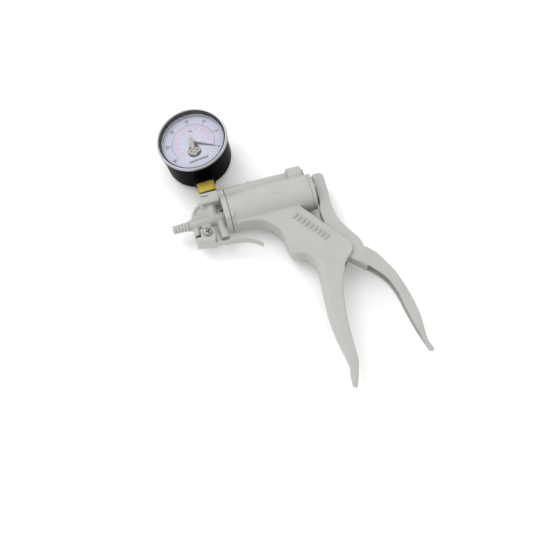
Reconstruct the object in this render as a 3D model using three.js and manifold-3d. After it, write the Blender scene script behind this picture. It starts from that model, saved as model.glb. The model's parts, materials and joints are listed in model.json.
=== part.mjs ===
// Hand vacuum pump: pistol-grip pump with a dial gauge, lying on its side.
// Units are millimetres. X runs along the barrel towards the handles, Y from the grips towards
// the gauge, Z is up. The pump is drawn about the barrel's axis, with the gauge stem at x = 0
// and its middle plane at z = 0, and is then moved so that its box stands on the origin.
import * as THREE from 'three';
import { mergeVertices } from 'three/addons/utils/BufferGeometryUtils.js';
import Module from 'manifold-3d';

const wasm = await Module();
wasm.setup();

// Driving dimensions ---------------------------------------------------------------------
const gap = 0.3;                 // clearance between neighbouring pieces

const barrelRadius = 15;
const barrelWall = 2.5;
const barrelFront = 12.3;        // front end of the barrel
const barrelLength = 67;
const collarThickness = 3.2;
const collarSpigot = 3.5;
const topTubeRadius = 6;
const topTubeBore = 3.5;
const topTubeHeight = 16.5;      // top tube's axis above the barrel's
const topTubeLength = 54;
const topBossRadius = 9;
const topBossLength = 12;

const pivotBehindBarrel = 6.3;   // handle pivot behind the collar's rear face
const pivotDrop = 57.5;          // handle pivot below the barrel's axis
const pivotPinRadius = 2.5;
const frameHalfWidth = 8;
const frameWall = 2.3;
const frontWall = 2.5;
const gripHalfWidth = 9;
const gripTipHalfWidth = 4.5;
const handleHalfWidth = 6.2;
const handleTipHalfWidth = 3;
const handleTravelDegrees = 28;
const armCheekSkin = 0.8;

const pistonLength = 10;
const pistonNose = 4;            // piston's front face behind the barrel's front end
const pistonClearance = 0.3;
const rodRadius = 3;
const rodTailHalfThickness = 2.2;
const rodTailRadius = 3.5;
const rodPinRadius = 2;
const rodPinBehindArmFace = 2.3;
const rodPinSlack = 0.65;        // room for the pin across its grooves
const springRadius = 7;
const springWire = 0.7;
const springTurns = 9;

const flangeThickness = 3.7;
const gasketThickness = 1;
const portBlockHalfWidth = 7.5;
const portBlockHeight = 10.2;
const portTop = 19.6;             // top of the port block above the barrel's axis
const inletRadius = 4.7;
const inletDrop = 3;             // inlet tube's axis below the barrel's
const inletLength = 28.3;        // inlet tube ahead of the flange
const riserRadius = 4.5;
const barbLength = 14.3;
const barbRadius = 4;
const barbTipRadius = 3.7;
const barbCount = 5;
const barbBore = 1.6;
const barbPlugRadius = 2.6;
const outletRadius = 3.8;
const outletX = 4;
const outletLength = 14;
const outletNose = 4.6;          // outlet tube beyond its valve's seat
const screwRadius = 1.5;
const screwHeadRadius = 2.8;

const leverPivotX = -8.4;
const leverPivotY = -15.4;
const leverHalfWidth = 7;
const leverCheek = 1.8;
const leverStripHalfWidth = 3.2;
const leverStripThickness = 1.4;
const leverEyeRadius = 5.9;
const leverScrewRadius = 1.6;
const leverScrewHeadRadius = 3.1;
const lugHalfWidth = 3;          // lug that carries the lever's screw
const lugRadius = 3.5;
const ventX = -16.6;
const ventRadius = 2.6;
const ventLength = 6.4;

const gaugeRadius = 27.7;        // outside of the gauge's can
const gaugeBack = -12;
const gaugeFront = 18.2;
const gaugeCanWall = 1.4;
const gaugeHeight = 42.2;         // gauge centre above the stem's flats
const gaugeTwist = THREE.MathUtils.degToRad(-5.1);
const bezelRadius = 29.3;
const bezelLip = 2.6;
const bezelLift = 1.4;           // bezel's back above the can's shoulder
const gaugeBossRadius = 8.5;
const lensThickness = 1.8;
const dialThickness = 0.8;
const pointerLength = 19;
const pointerTail = 1.8;
const pointerAngle = THREE.MathUtils.degToRad(-27);
const pinionRadius = 1.6;
const sectorRadius = 12.8;
const stemFlats = 14;
const stemFlatsHeight = 9.6;
const stemThreadRadius = 4.8;
const stemNeckRadius = 5;
const sealThickness = 1;

// Sizes worked out from them --------------------------------------------------------------
const bore = barrelRadius - barrelWall;
const barrelRear = barrelFront + barrelLength;
const collarRear = barrelRear + collarThickness;
const pivotX = collarRear + pivotBehindBarrel;
const pivotY = -pivotDrop;
const armHalfWidth = frameHalfWidth - frameWall - 0.5;
const armFaceX = collarRear + 1.8;
const rodPinX = armFaceX + rodPinBehindArmFace;
const flangeFront = barrelFront - gasketThickness - flangeThickness;
const pistonFront = barrelFront + pistonNose;
const pistonRear = pistonFront + pistonLength;
const stemBottom = portTop + sealThickness;
const gaugeY = stemBottom + gaugeHeight;

const plastic = [0.79, 0.81, 0.77];

// Solid helpers -----------------------------------------------------------------------------
function toSolid(geometry) {
  const bare = geometry.index ? geometry.toNonIndexed() : geometry.clone();
  bare.deleteAttribute('normal');
  bare.deleteAttribute('uv');
  const merged = mergeVertices(bare, 1e-4);
  const kept = [];
  const index = merged.index.array;
  for (let i = 0; i < index.length; i += 3) {
    const [a, b, c] = [index[i], index[i + 1], index[i + 2]];
    if (a !== b && b !== c && c !== a) kept.push(a, b, c);
  }
  return new wasm.Manifold(new wasm.Mesh({
    numProp: 3,
    vertProperties: new Float32Array(merged.attributes.position.array),
    triVerts: new Uint32Array(kept),
  }));
}

function toGeometry(solid) {
  const mesh = solid.getMesh();
  const geometry = new THREE.BufferGeometry();
  geometry.setAttribute('position', new THREE.BufferAttribute(new Float32Array(mesh.vertProperties), 3));
  geometry.setIndex(new THREE.BufferAttribute(new Uint32Array(mesh.triVerts), 1));
  geometry.computeVertexNormals();
  return geometry;
}

const join = (...solids) => solids.reduce((whole, solid) => whole.add(solid));
const cut = (solid, ...tools) => tools.reduce((whole, tool) => whole.subtract(tool), solid);

// A box between two corners.
function box(low, high) {
  const geometry = new THREE.BoxGeometry(high[0] - low[0], high[1] - low[1], high[2] - low[2]);
  geometry.translate((low[0] + high[0]) / 2, (low[1] + high[1]) / 2, (low[2] + high[2]) / 2);
  return toSolid(geometry);
}

// A round rod along one axis: from and to are places along it, across are the other two.
function rod(axis, from, to, radius, across = [0, 0], sides = 24, endRadius = radius) {
  const geometry = new THREE.CylinderGeometry(endRadius, radius, to - from, sides);
  geometry.translate(0, (from + to) / 2, 0);
  if (axis === 'x') {
    geometry.rotateZ(-Math.PI / 2);
    geometry.translate(0, across[0], across[1]);
  } else if (axis === 'y') {
    geometry.translate(across[0], 0, across[1]);
  } else {
    geometry.rotateX(Math.PI / 2);
    geometry.translate(across[0], across[1], 0);
  }
  return toSolid(geometry);
}

// A flat outline of [x, y] points, given a thickness from low to high in Z.
function slab(points, low, high) {
  const shape = new THREE.Shape(points.map(([x, y]) => new THREE.Vector2(x, y)));
  const geometry = new THREE.ExtrudeGeometry(shape, { depth: high - low, bevelEnabled: false });
  geometry.translate(0, 0, low);
  return toSolid(geometry);
}

// A profile of [radius, height] points turned about the Z axis.
function turned(profile, sides = 40) {
  const points = profile.map(([radius, height]) => new THREE.Vector2(radius, height));
  const geometry = new THREE.LatheGeometry(points, sides);
  geometry.rotateX(Math.PI / 2);
  return toSolid(geometry);
}

// A smooth curve through [x, y] points, as a list of points.
function smooth(points, count) {
  const curve = new THREE.SplineCurve(points.map(([x, y]) => new THREE.Vector2(x, y)));
  return curve.getSpacedPoints(count).map((p) => [p.x, p.y]);
}

function arc(x, y, radius, from, to, count) {
  const points = [];
  for (let i = 0; i <= count; i += 1) {
    const angle = THREE.MathUtils.degToRad(from + ((to - from) * i) / count);
    points.push([x + radius * Math.cos(angle), y + radius * Math.sin(angle)]);
  }
  return points;
}

// The same curve moved sideways: positive distances move it to the left of its direction.
function offset(points, distance) {
  return points.map(([x, y], i) => {
    const [ax, ay] = points[Math.max(i - 1, 0)];
    const [bx, by] = points[Math.min(i + 1, points.length - 1)];
    const length = Math.hypot(bx - ax, by - ay);
    return [x - (distance * (by - ay)) / length, y + (distance * (bx - ax)) / length];
  });
}

const fromPivot = (points) => points.map(([x, y]) => [pivotX + x, pivotY + y]);

// A round wire or tube along a 3-D curve.
function along(curve, radius, sides, steps) {
  const section = new THREE.Shape(
    arc(0, 0, radius, 0, 360 - 360 / sides, sides - 1).map(([x, y]) => new THREE.Vector2(x, y)),
  );
  return toSolid(new THREE.ExtrudeGeometry(section, { steps, bevelEnabled: false, extrudePath: curve }));
}

class Helix extends THREE.Curve {
  constructor(radius, from, to, turns) {
    super();
    Object.assign(this, { radius, from, to, turns });
  }

  getPoint(t, target = new THREE.Vector3()) {
    const angle = 2 * Math.PI * this.turns * t;
    const along = this.from + (this.to - this.from) * t;
    return target.set(along, this.radius * Math.cos(angle), this.radius * Math.sin(angle));
  }
}

const pump = new THREE.Group();
const gauge = new THREE.Group();
pump.add(gauge);

function piece(name, solid, colour, roughness, metalness = 0, group = pump) {
  const material = new THREE.MeshStandardMaterial({
    color: new THREE.Color(...colour), roughness, metalness,
  });
  const mesh = new THREE.Mesh(toGeometry(solid), material);
  mesh.name = name;
  group.add(mesh);
}

// Both grips get thinner toward their tips, and their outlines lean with the near face.
const taperTop = pivotY - 20;
const taperTip = pivotY - 106;
const leanX = 0.18;
const leanY = 0.386;

function leaned(points, wide, narrow) {
  return points.map(([x, y]) => {
    const t = THREE.MathUtils.clamp((taperTop - y) / (taperTop - taperTip), 0, 1);
    const thinned = gripHalfWidth - THREE.MathUtils.lerp(wide, narrow, t);
    return [x + leanX * thinned, y + leanY * thinned];
  });
}

function wedge(wide, narrow) {
  const reach = 300;
  return slab([
    [-narrow, -reach], [narrow, -reach], [narrow, taperTip], [wide, taperTop], [wide, reach],
    [-wide, reach], [-wide, taperTop], [-narrow, taperTip],
  ], -reach, reach).rotate([0, -90, 0]);
}

// Body moulding: barrel, top tube, side plates and fixed grip --------------------------------
// Its lower front edge, from under the barrel's front to the tip of the grip.
const underBarrel = -barrelRadius - 0.2;
const frontEdge = leaned([
  ...smooth([
    [barrelFront, underBarrel + 0.1],
    [pivotX - 63.7, underBarrel],
    ...fromPivot([
      [-57.3, 41.1], [-52.8, 39.2], [-47.9, 35.5], [-43.4, 30.4], [-41.2, 24.5], [-40.3, 16.5],
      [-39.2, 9],
    ]),
  ], 18),
  ...smooth(fromPivot([
    [-37.8, 6.1], [-35.1, 4.6], [-28.9, 3], [-25.3, 0.3], [-22.6, -4.3], [-21.5, -10.1],
    [-21.9, -17.4], [-23.8, -34.1], [-25, -49.5], [-24.7, -65.5], [-22.7, -83.8], [-21.8, -91.8],
  ]), 30),
], gripHalfWidth, gripTipHalfWidth);
const lipFront = leaned(fromPivot([[-23.6, -99.5], [-24.3, -106.5]]), gripHalfWidth, gripTipHalfWidth);
const lipRear = leaned(fromPivot([[-22.5, -108.1], [-19.4, -100.5]]), gripHalfWidth, gripTipHalfWidth);
const gripRear = leaned(smooth(fromPivot([
  [-16.4, -91], [-15.9, -83.7], [-14.6, -60.2], [-11.4, -38.6], [-7.8, -26.8], [-4.4, -19],
  [-0.6, -12.2], [3.1, -8.2],
]), 22), gripHalfWidth, gripTipHalfWidth);
const pivotRound = fromPivot(arc(0, 0, 8.3, -50, 35, 8));
const plateTop = [[pivotX - 22.3, pivotY + 45.7], [barrelFront, 0]];
const frameOutline = [...frontEdge, ...lipFront, ...lipRear, ...gripRear, ...pivotRound, ...plateTop];

// The inside follows the front edge one wall in, and is open all along the rear.
const pocketFront = offset(frontEdge.slice(3, -3), frontWall);
const pocketOutline = [
  ...pocketFront,
  ...fromPivot([[-17.5, -84.5], [20, -84.5], [20, 60]]),
  [pocketFront[0][0], 5],
];
const gripOutline = [
  ...frontEdge.slice(-22), ...lipFront, ...lipRear, ...gripRear.slice(0, -5),
];

const pinNearEnd = frameHalfWidth - 1.5;
const pistonBore = rod('x', barrelFront - 1, barrelRear + 1, bore, [0, 0], 40);
const gripWedge = wedge(gripHalfWidth, gripTipHalfWidth);
const gripInside = wedge(gripHalfWidth - frameWall, gripTipHalfWidth - frameWall);
const sidePlates = cut(
  slab(frameOutline, -frameHalfWidth, frameHalfWidth).intersect(gripWedge),
  slab(pocketOutline, -frameHalfWidth + frameWall, frameHalfWidth - frameWall).intersect(gripInside),
);
const grip = cut(
  slab(gripOutline, -gripHalfWidth, gripHalfWidth).intersect(gripWedge),
  slab(pocketOutline, -gripHalfWidth, gripHalfWidth).intersect(gripInside),
);
const topBossFront = barrelFront + topTubeLength - 1;
const screwPlaces = [[-8.5, 11.8], [-8.5, -11.8], [8.5, -11.8]];
let body = join(
  rod('x', barrelFront, barrelRear, barrelRadius, [0, 0], 40),
  rod('x', barrelFront, barrelFront + topTubeLength, topTubeRadius, [topTubeHeight, 0], 24),
  rod('x', topBossFront, topBossFront + topBossLength, topBossRadius, [topTubeHeight, 0], 24),
  sidePlates,
  grip,
  ...screwPlaces.map(([y, z]) => rod('x', barrelFront, barrelFront + 5, screwHeadRadius + 0.2, [y, z], 12)),
);
body = cut(
  body,
  pistonBore,
  rod('x', barrelFront - 1, topBossFront + topBossLength + 1, topTubeBore, [topTubeHeight, 0], 18),
  rod('z', -20, pinNearEnd + gap, pivotPinRadius + 0.1, [pivotX, pivotY], 18),
  ...screwPlaces.map(([y, z]) => rod('x', barrelFront - 1, barrelFront + 4, screwRadius + gap, [y, z], 10)),
);
piece('pump_body', body, plastic, 0.45);

const topBossRear = topBossFront + topBossLength;
piece('top_tube_plug', cut(
  join(
    rod('x', topBossFront + 2, topBossRear + 1, topTubeBore - gap, [topTubeHeight, 0], 18),
    rod('x', topBossRear + gap, topBossRear + 1.8, topTubeRadius, [topTubeHeight, 0], 18),
  ),
  rod('x', topBossRear - 0.1, barrelRear + 5, barrelRadius + gap, [0, 0], 40),
), plastic, 0.45);

// Collar that closes the barrel's rear and guides the rod.
piece('barrel_collar', cut(
  join(
    rod('x', barrelRear + 0.1, collarRear, barrelRadius, [0, 0], 40),
    rod('x', barrelRear - collarSpigot, barrelRear + 1, bore - gap, [0, 0], 36),
  ),
  rod('x', barrelRear - collarSpigot - 1, collarRear + 1, rodRadius + 0.4, [0, 0], 18),
  rod('x', barrelRear - collarSpigot - 1, barrelRear + 0.5, springRadius + springWire + 0.6, [0, 0], 24),
), plastic, 0.5);

// Piston, its cup seal, rod and cross pin -----------------------------------------------------
const pistonRadius = bore - pistonClearance;
const sealGroove = 2.2;
piece('piston', cut(
  join(
    rod('x', pistonFront, pistonRear, pistonRadius, [0, 0], 36),
    rod('x', pistonRear - 1, pistonRear + 3, rodRadius + 2, [0, 0], 18),
  ),
  cut(
    rod('x', pistonFront + 2, pistonFront + 5, pistonRadius + 1, [0, 0], 36),
    rod('x', pistonFront + 1, pistonFront + 6, pistonRadius - sealGroove, [0, 0], 36),
  ),
  rod('x', pistonFront + 4, pistonRear + 4, rodRadius + 0.15, [0, 0], 18),
), [0.2, 0.2, 0.21], 0.5);
piece('piston_seal', cut(
  rod('x', pistonFront + 2.15, pistonFront + 4.85, bore - 0.05, [0, 0], 40),
  rod('x', pistonFront + 1, pistonFront + 6, pistonRadius - sealGroove + 0.15, [0, 0], 36),
), [0.05, 0.05, 0.05], 0.7);

const rodTailStart = collarRear + gap;
piece('piston_rod', cut(
  join(
    rod('x', pistonFront + 4.3, rodTailStart + 1, rodRadius, [0, 0], 18),
    box([rodTailStart, -rodRadius, -rodTailHalfThickness], [rodPinX, rodRadius, rodTailHalfThickness]),
    rod('z', -rodTailHalfThickness, rodTailHalfThickness, rodTailRadius, [rodPinX, 0], 18),
  ),
  rod('z', -5, 5, rodPinRadius + 0.1, [rodPinX, 0], 18),
), [0.62, 0.62, 0.64], 0.3, 1);
const pinFar = -armHalfWidth + 0.2;
const pinNear = armHalfWidth - armCheekSkin - gap;
piece('rod_pin', rod('z', pinFar, pinNear, rodPinRadius, [rodPinX, 0], 18), [0.7, 0.7, 0.72], 0.3, 1);

const springFrom = pistonRear + springWire + 0.3;
const springTo = barrelRear + 0.3 - springWire;
piece('return_spring', along(
  new Helix(springRadius, springFrom, springTo, springTurns), springWire, 5, springTurns * 10,
), [0.6, 0.6, 0.62], 0.35, 1);

// Moving handle ---------------------------------------------------------------------------
const armTop = pivotDrop + 13.2;
const handleWall = 2;
const shoulder = [17.5, -3.3];
const gripOuter = smooth([
  shoulder, [21.1, -7], [25.1, -12.1], [28.9, -19.8], [33.2, -28.9], [36, -39.1], [38, -49],
  [39.4, -58.6], [40, -67.9], [39.7, -75.3], [39.1, -81.5], [38.8, -88.7], [40, -93.7], [41.2, -97],
], 30);
const gripInner = smooth([
  [39.4, -97.8], [37.6, -96.2], [36.2, -91.5], [34.7, -85.1], [33.1, -76.5], [31.7, -67.2],
  [30.7, -58.7], [29.8, -50.1], [28.3, -42.9], [25.5, -34.9], [21.3, -28.1], [15.7, -21.2],
  [10.5, -15],
], 20);
const armRear = [
  ...arc(1.2, armTop - 4, 4, 90, 0, 5),
  ...smooth([
    [4.9, pivotDrop + 1.1], [4.7, pivotDrop - 5], [3.8, pivotDrop - 14], [3.9, 36], [4.6, 30.2],
    [6.2, 24.2], [9, 18], [12.1, 12.3], [15.3, 6.9], [17, 1.9],
  ], 18),
];
const armFace = armFaceX - pivotX;
const armFront = [
  ...arc(0, 0, 7.6, -110, -180, 6), [-7.2, 8], [-6.6, 28.8], [-6.6, pivotDrop - 20.3],
  [armFace, pivotDrop - 12], [armFace, armTop - 2], [armFace + 2, armTop],
];
const armOutline = [...armRear, shoulder, ...gripOuter.slice(1, 6), [24, -24], [15.7, -21.2],
  [9.9, -14.4], [3.1, -8.2], ...armFront];
const wideOutline = leaned(fromPivot([
  ...gripOuter.slice(1), ...gripInner, [12.2, -9.6], [14.4, -4.6],
]), handleHalfWidth, handleTipHalfWidth);
const channelOuter = offset(gripOuter.slice(3, -4), -frontWall);
const channelOutline = leaned(fromPivot([
  ...channelOuter, [34.5, -86], [20, -90], [3, -40], [13.5, -20.5], [18.5, -15.5],
]), handleHalfWidth, handleTipHalfWidth);

const gripBlock = cut(
  slab(wideOutline, -handleHalfWidth, handleHalfWidth).intersect(wedge(handleHalfWidth, handleTipHalfWidth)),
  slab(channelOutline, -handleHalfWidth, handleHalfWidth)
    .intersect(wedge(handleHalfWidth - handleWall, handleTipHalfWidth - handleWall)),
);
const armBlock = cut(
  slab(fromPivot(armOutline), -armHalfWidth, armHalfWidth),
  slab(channelOutline, -gripHalfWidth, gripHalfWidth),
);
const pinReach = pivotDrop / Math.cos(THREE.MathUtils.degToRad(handleTravelDegrees - 2)) - pivotDrop;
const forkBack = rodPinX + rodTailRadius + 0.7;
const forkSlot = box(
  [armFaceX - 3, -14, -rodTailHalfThickness - 0.4],
  [forkBack, pinReach + rodTailRadius + 1, rodTailHalfThickness + 0.4],
);
const grooveHalfWidth = rodPinRadius + rodPinSlack;
const pinGroove = slab([
  ...arc(rodPinX, -0.5, grooveHalfWidth, 180, 360, 8),
  ...arc(rodPinX, pinReach + 0.5, grooveHalfWidth, 0, 180, 8),
], -armHalfWidth - 1, armHalfWidth - armCheekSkin);
piece('moving_handle', cut(
  join(armBlock, gripBlock),
  forkSlot,
  pinGroove,
  rod('z', -20, 20, pivotPinRadius + 0.1, [pivotX, pivotY], 18),
), plastic, 0.45);
piece('handle_pivot_pin', rod('z', -frameHalfWidth + 0.4, pinNearEnd, pivotPinRadius,
  [pivotX, pivotY], 18), [0.7, 0.7, 0.72], 0.3, 1);

// Front manifold: flange, port block, riser, inlet tube, gusset, lug and valve tubes -----------
const flange = join(
  rod('x', flangeFront, flangeFront + flangeThickness, barrelRadius + 0.4, [0, 0], 40),
  rod('x', flangeFront, flangeFront + flangeThickness, topTubeRadius + 0.4, [topTubeHeight, 0], 24),
  ...screwPlaces.map(([y, z]) => rod('x', flangeFront, flangeFront + flangeThickness,
    screwHeadRadius + 0.6, [y, z], 12)),
);
const portBottom = portTop - portBlockHeight;
const roundedSquare = (half, radius) => [
  ...arc(half - radius, half - radius, radius, 0, 90, 4),
  ...arc(radius - half, half - radius, radius, 90, 180, 4),
  ...arc(radius - half, radius - half, radius, 180, 270, 4),
  ...arc(half - radius, radius - half, radius, 270, 360, 4),
];
const portBlock = slab(roundedSquare(portBlockHalfWidth, 2), 0, portBlockHeight)
  .rotate([90, 0, 0]).translate([0, portTop, 0]);
const inletY = -inletDrop;
const inletFront = flangeFront - inletLength;
const outletEnd = inletY - outletLength - outletNose;
const ventEnd = inletY - inletRadius - ventLength;
const gussetHalfWidth = 2.4;
const gusset = slab([
  [2, portBottom + 1], [-7, portBottom + 4.5],
  ...arc(-3.5, -0.5, 15.2, 108, 172, 8), [2, inletY],
], -gussetHalfWidth, gussetHalfWidth);
const lugBottom = leverPivotY;
const lug = join(
  box([leverPivotX - lugRadius, lugBottom, -lugHalfWidth], [leverPivotX + lugRadius, inletY, lugHalfWidth]),
  rod('z', -lugHalfWidth, lugHalfWidth, lugRadius, [leverPivotX, leverPivotY], 18),
);
let manifold = join(
  flange,
  portBlock,
  box([0, portBottom, -5], [flangeFront + 1, portTop - 1, 5]),
  rod('y', inletY, portBottom + 1, riserRadius, [-1, 0], 18),
  rod('x', inletFront, flangeFront + 1, inletRadius, [inletY, 0], 24),
  gusset,
  lug,
  rod('y', outletEnd, inletY, outletRadius, [outletX, 0], 18),
  rod('y', ventEnd, inletY, ventRadius, [ventX, 0], 14),
);
const pocketDepth = 1.1;
const gussetRecess = [
  ...arc(-3.5, -0.5, 13, 120, 158, 6), [-6, inletY + inletRadius + 1.2], [-6, portBottom - 1.2],
  [-8, portBottom - 0.6],
];
const discRadius = 5;
const discThickness = 1.2;
const valveTravel = 0.8;
manifold = cut(
  manifold,
  slab(gussetRecess, gussetHalfWidth - pocketDepth, 4),
  slab(gussetRecess, -4, pocketDepth - gussetHalfWidth),
  rod('y', portBottom + 2, portTop + 1, stemThreadRadius + 0.3, [0, 0], 18),
  rod('y', inletY, portBottom + 3, 2, [-1, 0], 12),
  rod('x', inletFront - 1, inletFront + 8, barbPlugRadius + gap, [inletY, 0], 18),
  rod('x', inletFront + 7, flangeFront + 1, barbBore, [inletY, 0], 12),
  rod('x', flangeFront + 0.6, barrelFront + 1, discRadius + 0.3, [inletY, 0], 18),
  rod('y', inletY - 30, inletY, barbBore, [outletX, 0], 12),
  rod('y', outletEnd - 1, inletY - outletLength + 1, outletRadius - 1.1, [outletX, 0], 14),
  rod('y', ventEnd - 1, inletY, 1, [ventX, 0], 10),
  rod('x', flangeFront - 2, barrelFront, topTubeBore - 1.2, [topTubeHeight, 0], 12),
  rod('z', -5, 5, leverScrewRadius + 0.1, [leverPivotX, leverPivotY], 14),
  ...screwPlaces.map(([y, z]) => rod('x', flangeFront - 1, barrelFront, screwRadius + gap, [y, z], 10)),
);
piece('front_manifold', manifold, plastic, 0.45);

piece('manifold_gasket', cut(
  rod('x', barrelFront - gasketThickness + 0.1, barrelFront - 0.1, barrelRadius - 0.6, [0, 0], 36),
  rod('x', barrelFront - 3, barrelFront + 1, bore - 1.5, [0, 0], 36),
  ...screwPlaces.map(([y, z]) => rod('x', barrelFront - 3, barrelFront + 1,
    screwHeadRadius + 0.6, [y, z], 12)),
), [0.07, 0.07, 0.07], 0.8);

screwPlaces.forEach(([y, z], i) => {
  piece(`flange_screw_${i + 1}`, cut(
    join(
      rod('x', flangeFront - gap - 1.8, flangeFront - gap, screwHeadRadius, [y, z], 14),
      rod('x', flangeFront - gap - 0.5, barrelFront + 3.2, screwRadius, [y, z], 10),
    ),
    box([flangeFront - gap - 2.5, y - 2, z - 0.35], [flangeFront - gap - 1.2, y + 2, z + 0.35]),
    box([flangeFront - gap - 2.5, y - 0.35, z - 2], [flangeFront - gap - 1.2, y + 0.35, z + 2]),
  ), [0.75, 0.75, 0.77], 0.25, 1);
});

// Ribbed hose barb, pressed into the inlet tube.
const barbBack = inletFront - 0.1;
const ribPitch = (barbLength - 1.5) / barbCount;
const barbProfile = [[barbBore, -barbLength], [barbTipRadius - 0.6, -barbLength]];
for (let i = 0; i < barbCount; i += 1) {
  const start = -barbLength + 0.4 + i * ribPitch;
  const rib = THREE.MathUtils.lerp(barbTipRadius, barbRadius, i / (barbCount - 1));
  barbProfile.push([rib, start + ribPitch * 0.55], [rib, start + ribPitch * 0.75]);
  barbProfile.push([rib - 0.8, start + ribPitch * 0.85]);
}
barbProfile.push([inletRadius - 0.4, -0.6], [inletRadius - 0.4, 0], [barbPlugRadius, 0],
  [barbPlugRadius, 7], [barbBore, 7], [barbBore, -barbLength]);
const barb = turned(barbProfile, 24).rotate([0, 90, 0]).translate([barbBack, inletY, 0]);
piece('inlet_barb', barb, plastic, 0.45);

// Rubber discs of the two check valves, and the outlet's cap.
const inletDiscX = flangeFront + 1;
piece('inlet_valve_disc', rod('x', inletDiscX, inletDiscX + discThickness, discRadius, [inletY, 0], 18),
  [0.1, 0.1, 0.1], 0.7);
const outletSeat = inletY - outletLength + 1;
piece('outlet_valve_disc', rod('y', outletSeat - discThickness - 0.2, outletSeat - 0.2,
  outletRadius - 1.4, [outletX, 0], 12), [0.1, 0.1, 0.1], 0.7);
piece('outlet_cap', cut(
  rod('y', outletEnd, outletSeat - discThickness - valveTravel - 0.7, outletRadius - 1.3, [outletX, 0], 14),
  rod('y', outletEnd - 1, outletSeat, 1, [outletX, 0], 10),
), plastic, 0.45);

// Release lever ---------------------------------------------------------------------------
const stripLower = smooth([
  [-18.8, -22.2], [-10, -23.4], [-2, -25.2], [6, -26], [13.6, -27], [20, -28.4], [26, -31.2], [30.8, -35.4],
], 14);
const stripUpper = offset(stripLower, leverStripThickness).reverse();
const strip = [...stripLower, ...stripUpper];
const trayPoints = 5;            // points of the strip that lie under the tray
const stripStart = stripLower.slice(0, trayPoints);
const stripStartUpper = stripUpper.slice(-trayPoints);
const cheekOutline = [
  ...stripStart,
  [leverPivotX + leverEyeRadius - 0.4, -21.5],
  ...arc(leverPivotX, leverPivotY, leverEyeRadius, 0, 180, 10),
  [leverPivotX - leverEyeRadius, -17.6], [-18.6, -17.6],
];
const cheekInner = leverHalfWidth - leverCheek;
piece('release_lever', cut(
  join(
    slab(strip, -leverStripHalfWidth, leverStripHalfWidth),
    slab([...stripStart, ...stripStartUpper], -leverHalfWidth, leverHalfWidth),
    slab(cheekOutline, cheekInner, leverHalfWidth),
    slab(cheekOutline, -leverHalfWidth, -cheekInner),
    box([-18.4, -20.6, -cheekInner - 0.5], [-14.4, -17.6, cheekInner + 0.5]),
  ),
  rod('z', -20, 20, leverScrewRadius + 0.15, [leverPivotX, leverPivotY], 14),
), plastic, 0.45);
piece('release_pad', rod('y', -17.5, ventEnd - 0.25, ventRadius - 0.2, [ventX, 0], 14),
  [0.08, 0.08, 0.08], 0.8);
piece('lever_screw', cut(
  join(
    rod('z', leverHalfWidth + 0.2, leverHalfWidth + 1.9, leverScrewHeadRadius,
      [leverPivotX, leverPivotY], 20),
    rod('z', -leverHalfWidth, leverHalfWidth + 1, leverScrewRadius, [leverPivotX, leverPivotY], 14),
  ),
  box([leverPivotX - 2, leverPivotY - 0.4, leverHalfWidth + 1.2],
    [leverPivotX + 2, leverPivotY + 0.4, leverHalfWidth + 3]),
  box([leverPivotX - 0.4, leverPivotY - 2, leverHalfWidth + 1.2],
    [leverPivotX + 0.4, leverPivotY + 2, leverHalfWidth + 3]),
), [0.78, 0.78, 0.8], 0.25, 1);
piece('lever_spring', along(new Helix(2.6, 3.4, 4.8, 1.5), 0.3, 6, 18).rotate([0, -90, 0])
  .translate([leverPivotX, leverPivotY, 0]), [0.65, 0.65, 0.67], 0.3, 1);

// Gauge: drawn about its own axis at x = 0, y = gaugeY, and turned about its stem -----------
const atGauge = (solid) => solid.translate([0, gaugeY, 0]);
const bezelBack = gaugeFront + bezelLift;
const bezelSeat = gaugeRadius + 0.2;
const can = turned([
  [0, gaugeBack], [gaugeRadius - 2.5, gaugeBack], [gaugeRadius - 0.7, gaugeBack + 0.7],
  [gaugeRadius, gaugeBack + 2.5], [gaugeRadius, bezelBack - 6.2], [bezelRadius - 0.5, bezelBack - 5],
  [bezelRadius - 0.5, bezelBack - gap], [bezelSeat, bezelBack - gap], [bezelSeat, gaugeFront],
  [gaugeRadius - gaugeCanWall, gaugeFront],
  [gaugeRadius - gaugeCanWall, gaugeBack + gaugeCanWall], [0, gaugeBack + gaugeCanWall],
]);
const plugRadius = 4;
const bossBottom = stemBottom + stemFlatsHeight + gap;
piece('gauge_case', cut(
  join(atGauge(can), rod('y', bossBottom, gaugeY - gaugeRadius + 1.2, gaugeBossRadius, [0, 0], 24)),
  rod('y', stemBottom + stemFlatsHeight, gaugeY - 10, stemNeckRadius + 0.25, [0, 0], 24),
  rod('z', gaugeBack - 1, gaugeBack + 4, plugRadius - 1.2, [0, gaugeY + 12], 18),
), [0.02, 0.02, 0.022], 0.12, 0, gauge);
piece('gauge_relief_plug', join(
  rod('z', gaugeBack - 1.4, gaugeBack - gap, plugRadius, [0, gaugeY + 12], 18),
  rod('z', gaugeBack - 1, gaugeBack + gaugeCanWall + 0.3, plugRadius - 1.5, [0, gaugeY + 12], 18),
), [0.06, 0.06, 0.06], 0.8, 0, gauge);

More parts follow.
